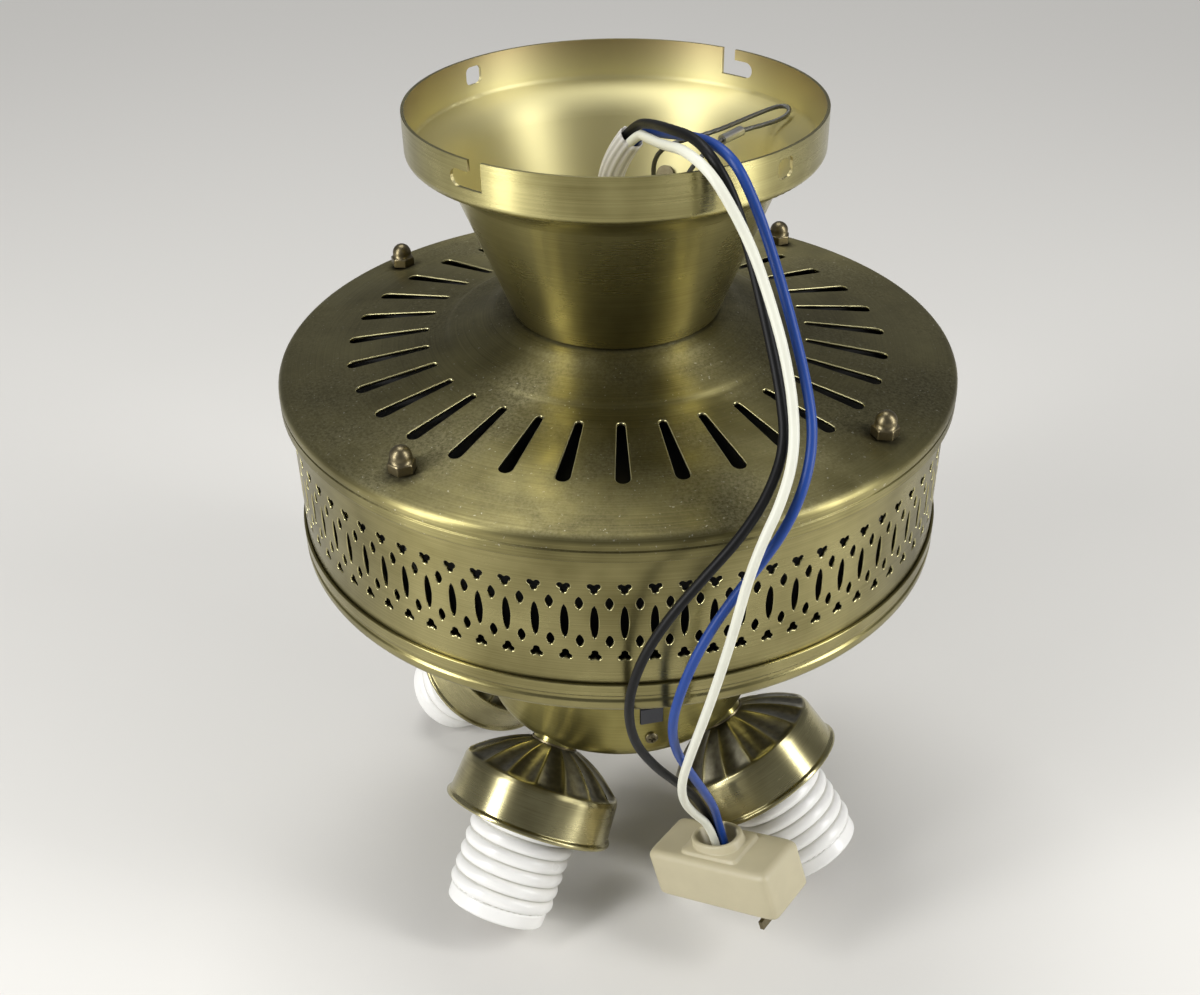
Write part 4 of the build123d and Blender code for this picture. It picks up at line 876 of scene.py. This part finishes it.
def carried(line, radius, turn):
    """Rings of a radius at each turn, carried along a line on axes that turn as little as they can."""
    ahead = np.gradient(line, axis=0)
    ahead /= np.linalg.norm(ahead, axis=1)[:, None]
    side = np.empty_like(line)
    side[0] = np.cross(ahead[0], (0.3, 0.9, 0.2))
    for index in range(1, len(line)):
        side[index] = side[index - 1] - ahead[index] * (side[index - 1] @ ahead[index])
    side /= np.linalg.norm(side, axis=1)[:, None]
    third = np.cross(ahead, side)
    x, y = (radius * np.cos(turn))[..., None], (radius * np.sin(turn))[..., None]
    return line[:, None] + side[:, None] * x + third[:, None] * y


def make_plug():
    """The plug's body, one surface of rings from the middle of its underside up over its rounded upper
    edges, over a raised pad and an oval collar, and down into the wires' hole. A ring's points lie where
    rays from the middle meet (x / a) to a power plus (y / b) to that power is one. Rings are half length,
    half width, power and height, and rays are spread evenly along the body's outline."""
    half_long, half_wide, top = PLUG_HALF
    pad, collar, floor = top + PAD_RISE, top + COLLAR_RISE, top - PLUG_HOLE_DEPTH
    fine = np.linspace(0, 2 * np.pi, 4001)
    outline = lens_hole(half_long, half_wide, BLOCK_POWER)(fine)
    walked = lengths(stacked(outline * np.cos(fine), outline * np.sin(fine)))
    angle = np.interp(np.linspace(0, walked[-1], 241), walked, fine)
    bend = np.linspace(0, np.pi / 2, 7)
    drawn_in = PLUG_ROUNDING * (1 - np.cos(bend))
    rings = np.concatenate([
        [(0.1, 0.05, 2, -top)],
        [(half_long - less, half_wide - less, BLOCK_POWER, -top + up) for less, up in (
            (0.5, 0), (0.1, 0.15), (0, 0.6))],
        stacked(half_long - drawn_in, half_wide - drawn_in, BLOCK_POWER,
                top - PLUG_ROUNDING * (1 - np.sin(bend))),
        [(a, b, PAD_POWER, height) for a, b, height in (
            (13.0, 9.15, top), (12.7, 8.95, top + 0.1), (12.4, 8.75, pad - 0.4), (12.0, 8.5, pad))],
        [(a, b, COLLAR_POWER, height) for a, b, height in (
            (10.7, 8.3, pad), (10.3, 8.0, pad + 0.15), (10.1, 7.85, pad + 0.6), (10.0, 7.8, collar - 0.6),
            (9.7, 7.5, collar - 0.1), (9.1, 7.0, collar), (8.4, 6.5, collar - 0.1), (8.0, 6.1, collar - 0.5),
            (7.8, 6.0, floor))],
        [(0.1, 0.1, 2, floor)],
    ])
    reach = np.stack([lens_hole(a, b, power)(angle) for a, b, power in rings[:, :3]])
    points = stacked(reach * np.cos(angle), reach * np.sin(angle), rings[:, 3:])
    about_x, about_y, about_z = (Matrix.Rotation(turn, 3, axis) for turn, axis in zip(PLUG_TURN, "XYZ"))
    points = points @ np.array(about_x @ about_y @ about_z).T + np.array(PLUG_CENTRE)
    return make_piece("plug_block", [points], beige_plastic, "plug_body")


WIRES = {
    "white": (WHITE_ROUTE, white_vinyl, 0.365),
    "black": (BLACK_ROUTE, black_vinyl, 0.380),
    "blue": (BLUE_ROUTE, blue_vinyl, 0.371),
}
for shade, (route, vinyl, length) in WIRES.items():
    name = f"{shade}_wire_lead"
    curve = make_curve(name, route, WIRE_DIAMETER)
    dress(name, curve, vinyl, f"{shade}_wire")
plug = make_plug()


def make_rope():
    """The steel rope: six strands that wind round its line, as a lobed section that turns as it goes."""
    line = centreline(ROPE_ROUTE)
    turn = np.linspace(0, 2 * np.pi, 37)
    twist = lengths(line)[:, None] * 2 * np.pi / ROPE_LAY
    radius = ROPE_DIAMETER / 2 * (0.72 + 0.28 * np.abs(np.cos(3 * (turn - twist))))
    piece = make_piece("steel_sling", [carried(line, radius, turn)], rope_steel, "safety_rope")


def make_sheath():
    """The soft sleeve: a tube with shallow lengthwise ridges, round its mouth and back inside it."""
    line = centreline(SHEATH_ROUTE)
    turn = np.linspace(0, 2 * np.pi, 97)
    ridges = 0.5 + 0.5 * np.cos(SHEATH_RIDGES * turn)
    outer = carried(line, (SHEATH_DIAMETER / 2 - 0.3 + 0.3 * ridges)[None, :], turn)
    inner = carried(line, np.full((1, len(turn)), SHEATH_DIAMETER / 2 - 0.45), turn)
    # relief: the valleys between ridges and the inside take painted shade
    relief = np.where(np.arange(2 * len(line))[:, None] < len(line), 0.35 + 0.65 * ridges, 0.4)
    grids = [(np.concatenate([outer, inner[::-1]]), 0, relief)]
    make_piece("ridged_sleeving", grids, sheath_vinyl, "wire_sheath")


make_rope()
make_sheath()


# Switch

def make_switch_screws():
    """Pan-head screws: a low dome whose height falls with the fourth power of the distance from its middle,
    with a cross pressed into it, and a plain shank."""
    turn = np.linspace(0, 2 * np.pi, 97)
    share = np.concatenate([np.linspace(0, 1, 25), [1.0]])[:, None]
    x, y = SCREW_HEAD[0] * share * np.cos(turn), SCREW_HEAD[0] * share * np.sin(turn)
    nearer, further = np.minimum(np.abs(x), np.abs(y)), np.maximum(np.abs(x), np.abs(y))
    cross = np.clip((CROSS_ARM[0] - nearer) / 0.12, 0, 1) * np.clip((CROSS_ARM[1] - further) / 0.2, 0, 1)
    height = SCREW_HEAD[1] * (1 - 0.45 * share ** 4) - CROSS_DEPTH * cross
    height[-1] = 0.0
    a = radians(SWITCH_AZIMUTH)
    out, side, up = np.array([sin(a), -cos(a), 0]), np.array([cos(a), sin(a), 0]), np.array([0, 0, 1])
    shank_radius, shank_height = np.array([1, 1, 0])[:, None], np.array([0, -1, -1])[:, None]
    across, above = SCREW_SHANK[0] * shank_radius * np.cos(turn), SCREW_SHANK[0] * shank_radius * np.sin(turn)
    grids = []
    for level in SWITCH_SCREW_HEIGHTS:
        for east, north, depth in ((x, y, height), (across, above, SCREW_SHANK[1] * shank_height)):
            seat = (CUP_RADIUS + 0.1 + depth)[..., None] * out
            grids.append(east[..., None] * side + north[..., None] * up + seat + level * up)
    make_piece("cross_head_screws", grids, screw_steel, "switch_screws")


make_switch_screws()

# Finishes of the remaining pieces
FINISHES = {
    canopy_brass: ["canopy"],
    cup_brass: ["switch_cup", "cup_lid"],
    zinc: ["anchor_washer", "canopy_nut", "housing_screws", "shaft_nut", "cup_screws", "lamp_nipples",
           "nipple_locknuts", "rotor_screws", "flywheel_screws", "motor_shaft", "upper_bearing",
           "lower_bearing"],
    core_steel: ["stator_core", "rotor_ring"],
    copper: ["stator_windings"],
    enamel: ["rotor_upper_shell", "rotor_lower_shell"],
    casting: ["blade_flywheel"],
    socket_brass: [f"{kind}_{number}" for kind in ("screw_shell", "center_contact")
                   for number in (1, 2, 3, 4)],
    nut_bronze: ["plug_blades", "lamp_collars"],
    screw_steel: ["earth_screw"],
    black_plastic: ["reverse_switch_body", "run_capacitor"],
    knob_plastic: ["reverse_switch_knob"],
    ivory_plastic: ["terminal_block"],
    rubber: ["neck_gasket"],
    ferrule_metal: ["rope_ferrule"],
}
for material, names in FINISHES.items():
    for name in names:
        mesh = nodes[name].data
        mesh.materials.clear()
        mesh.materials.append(material)
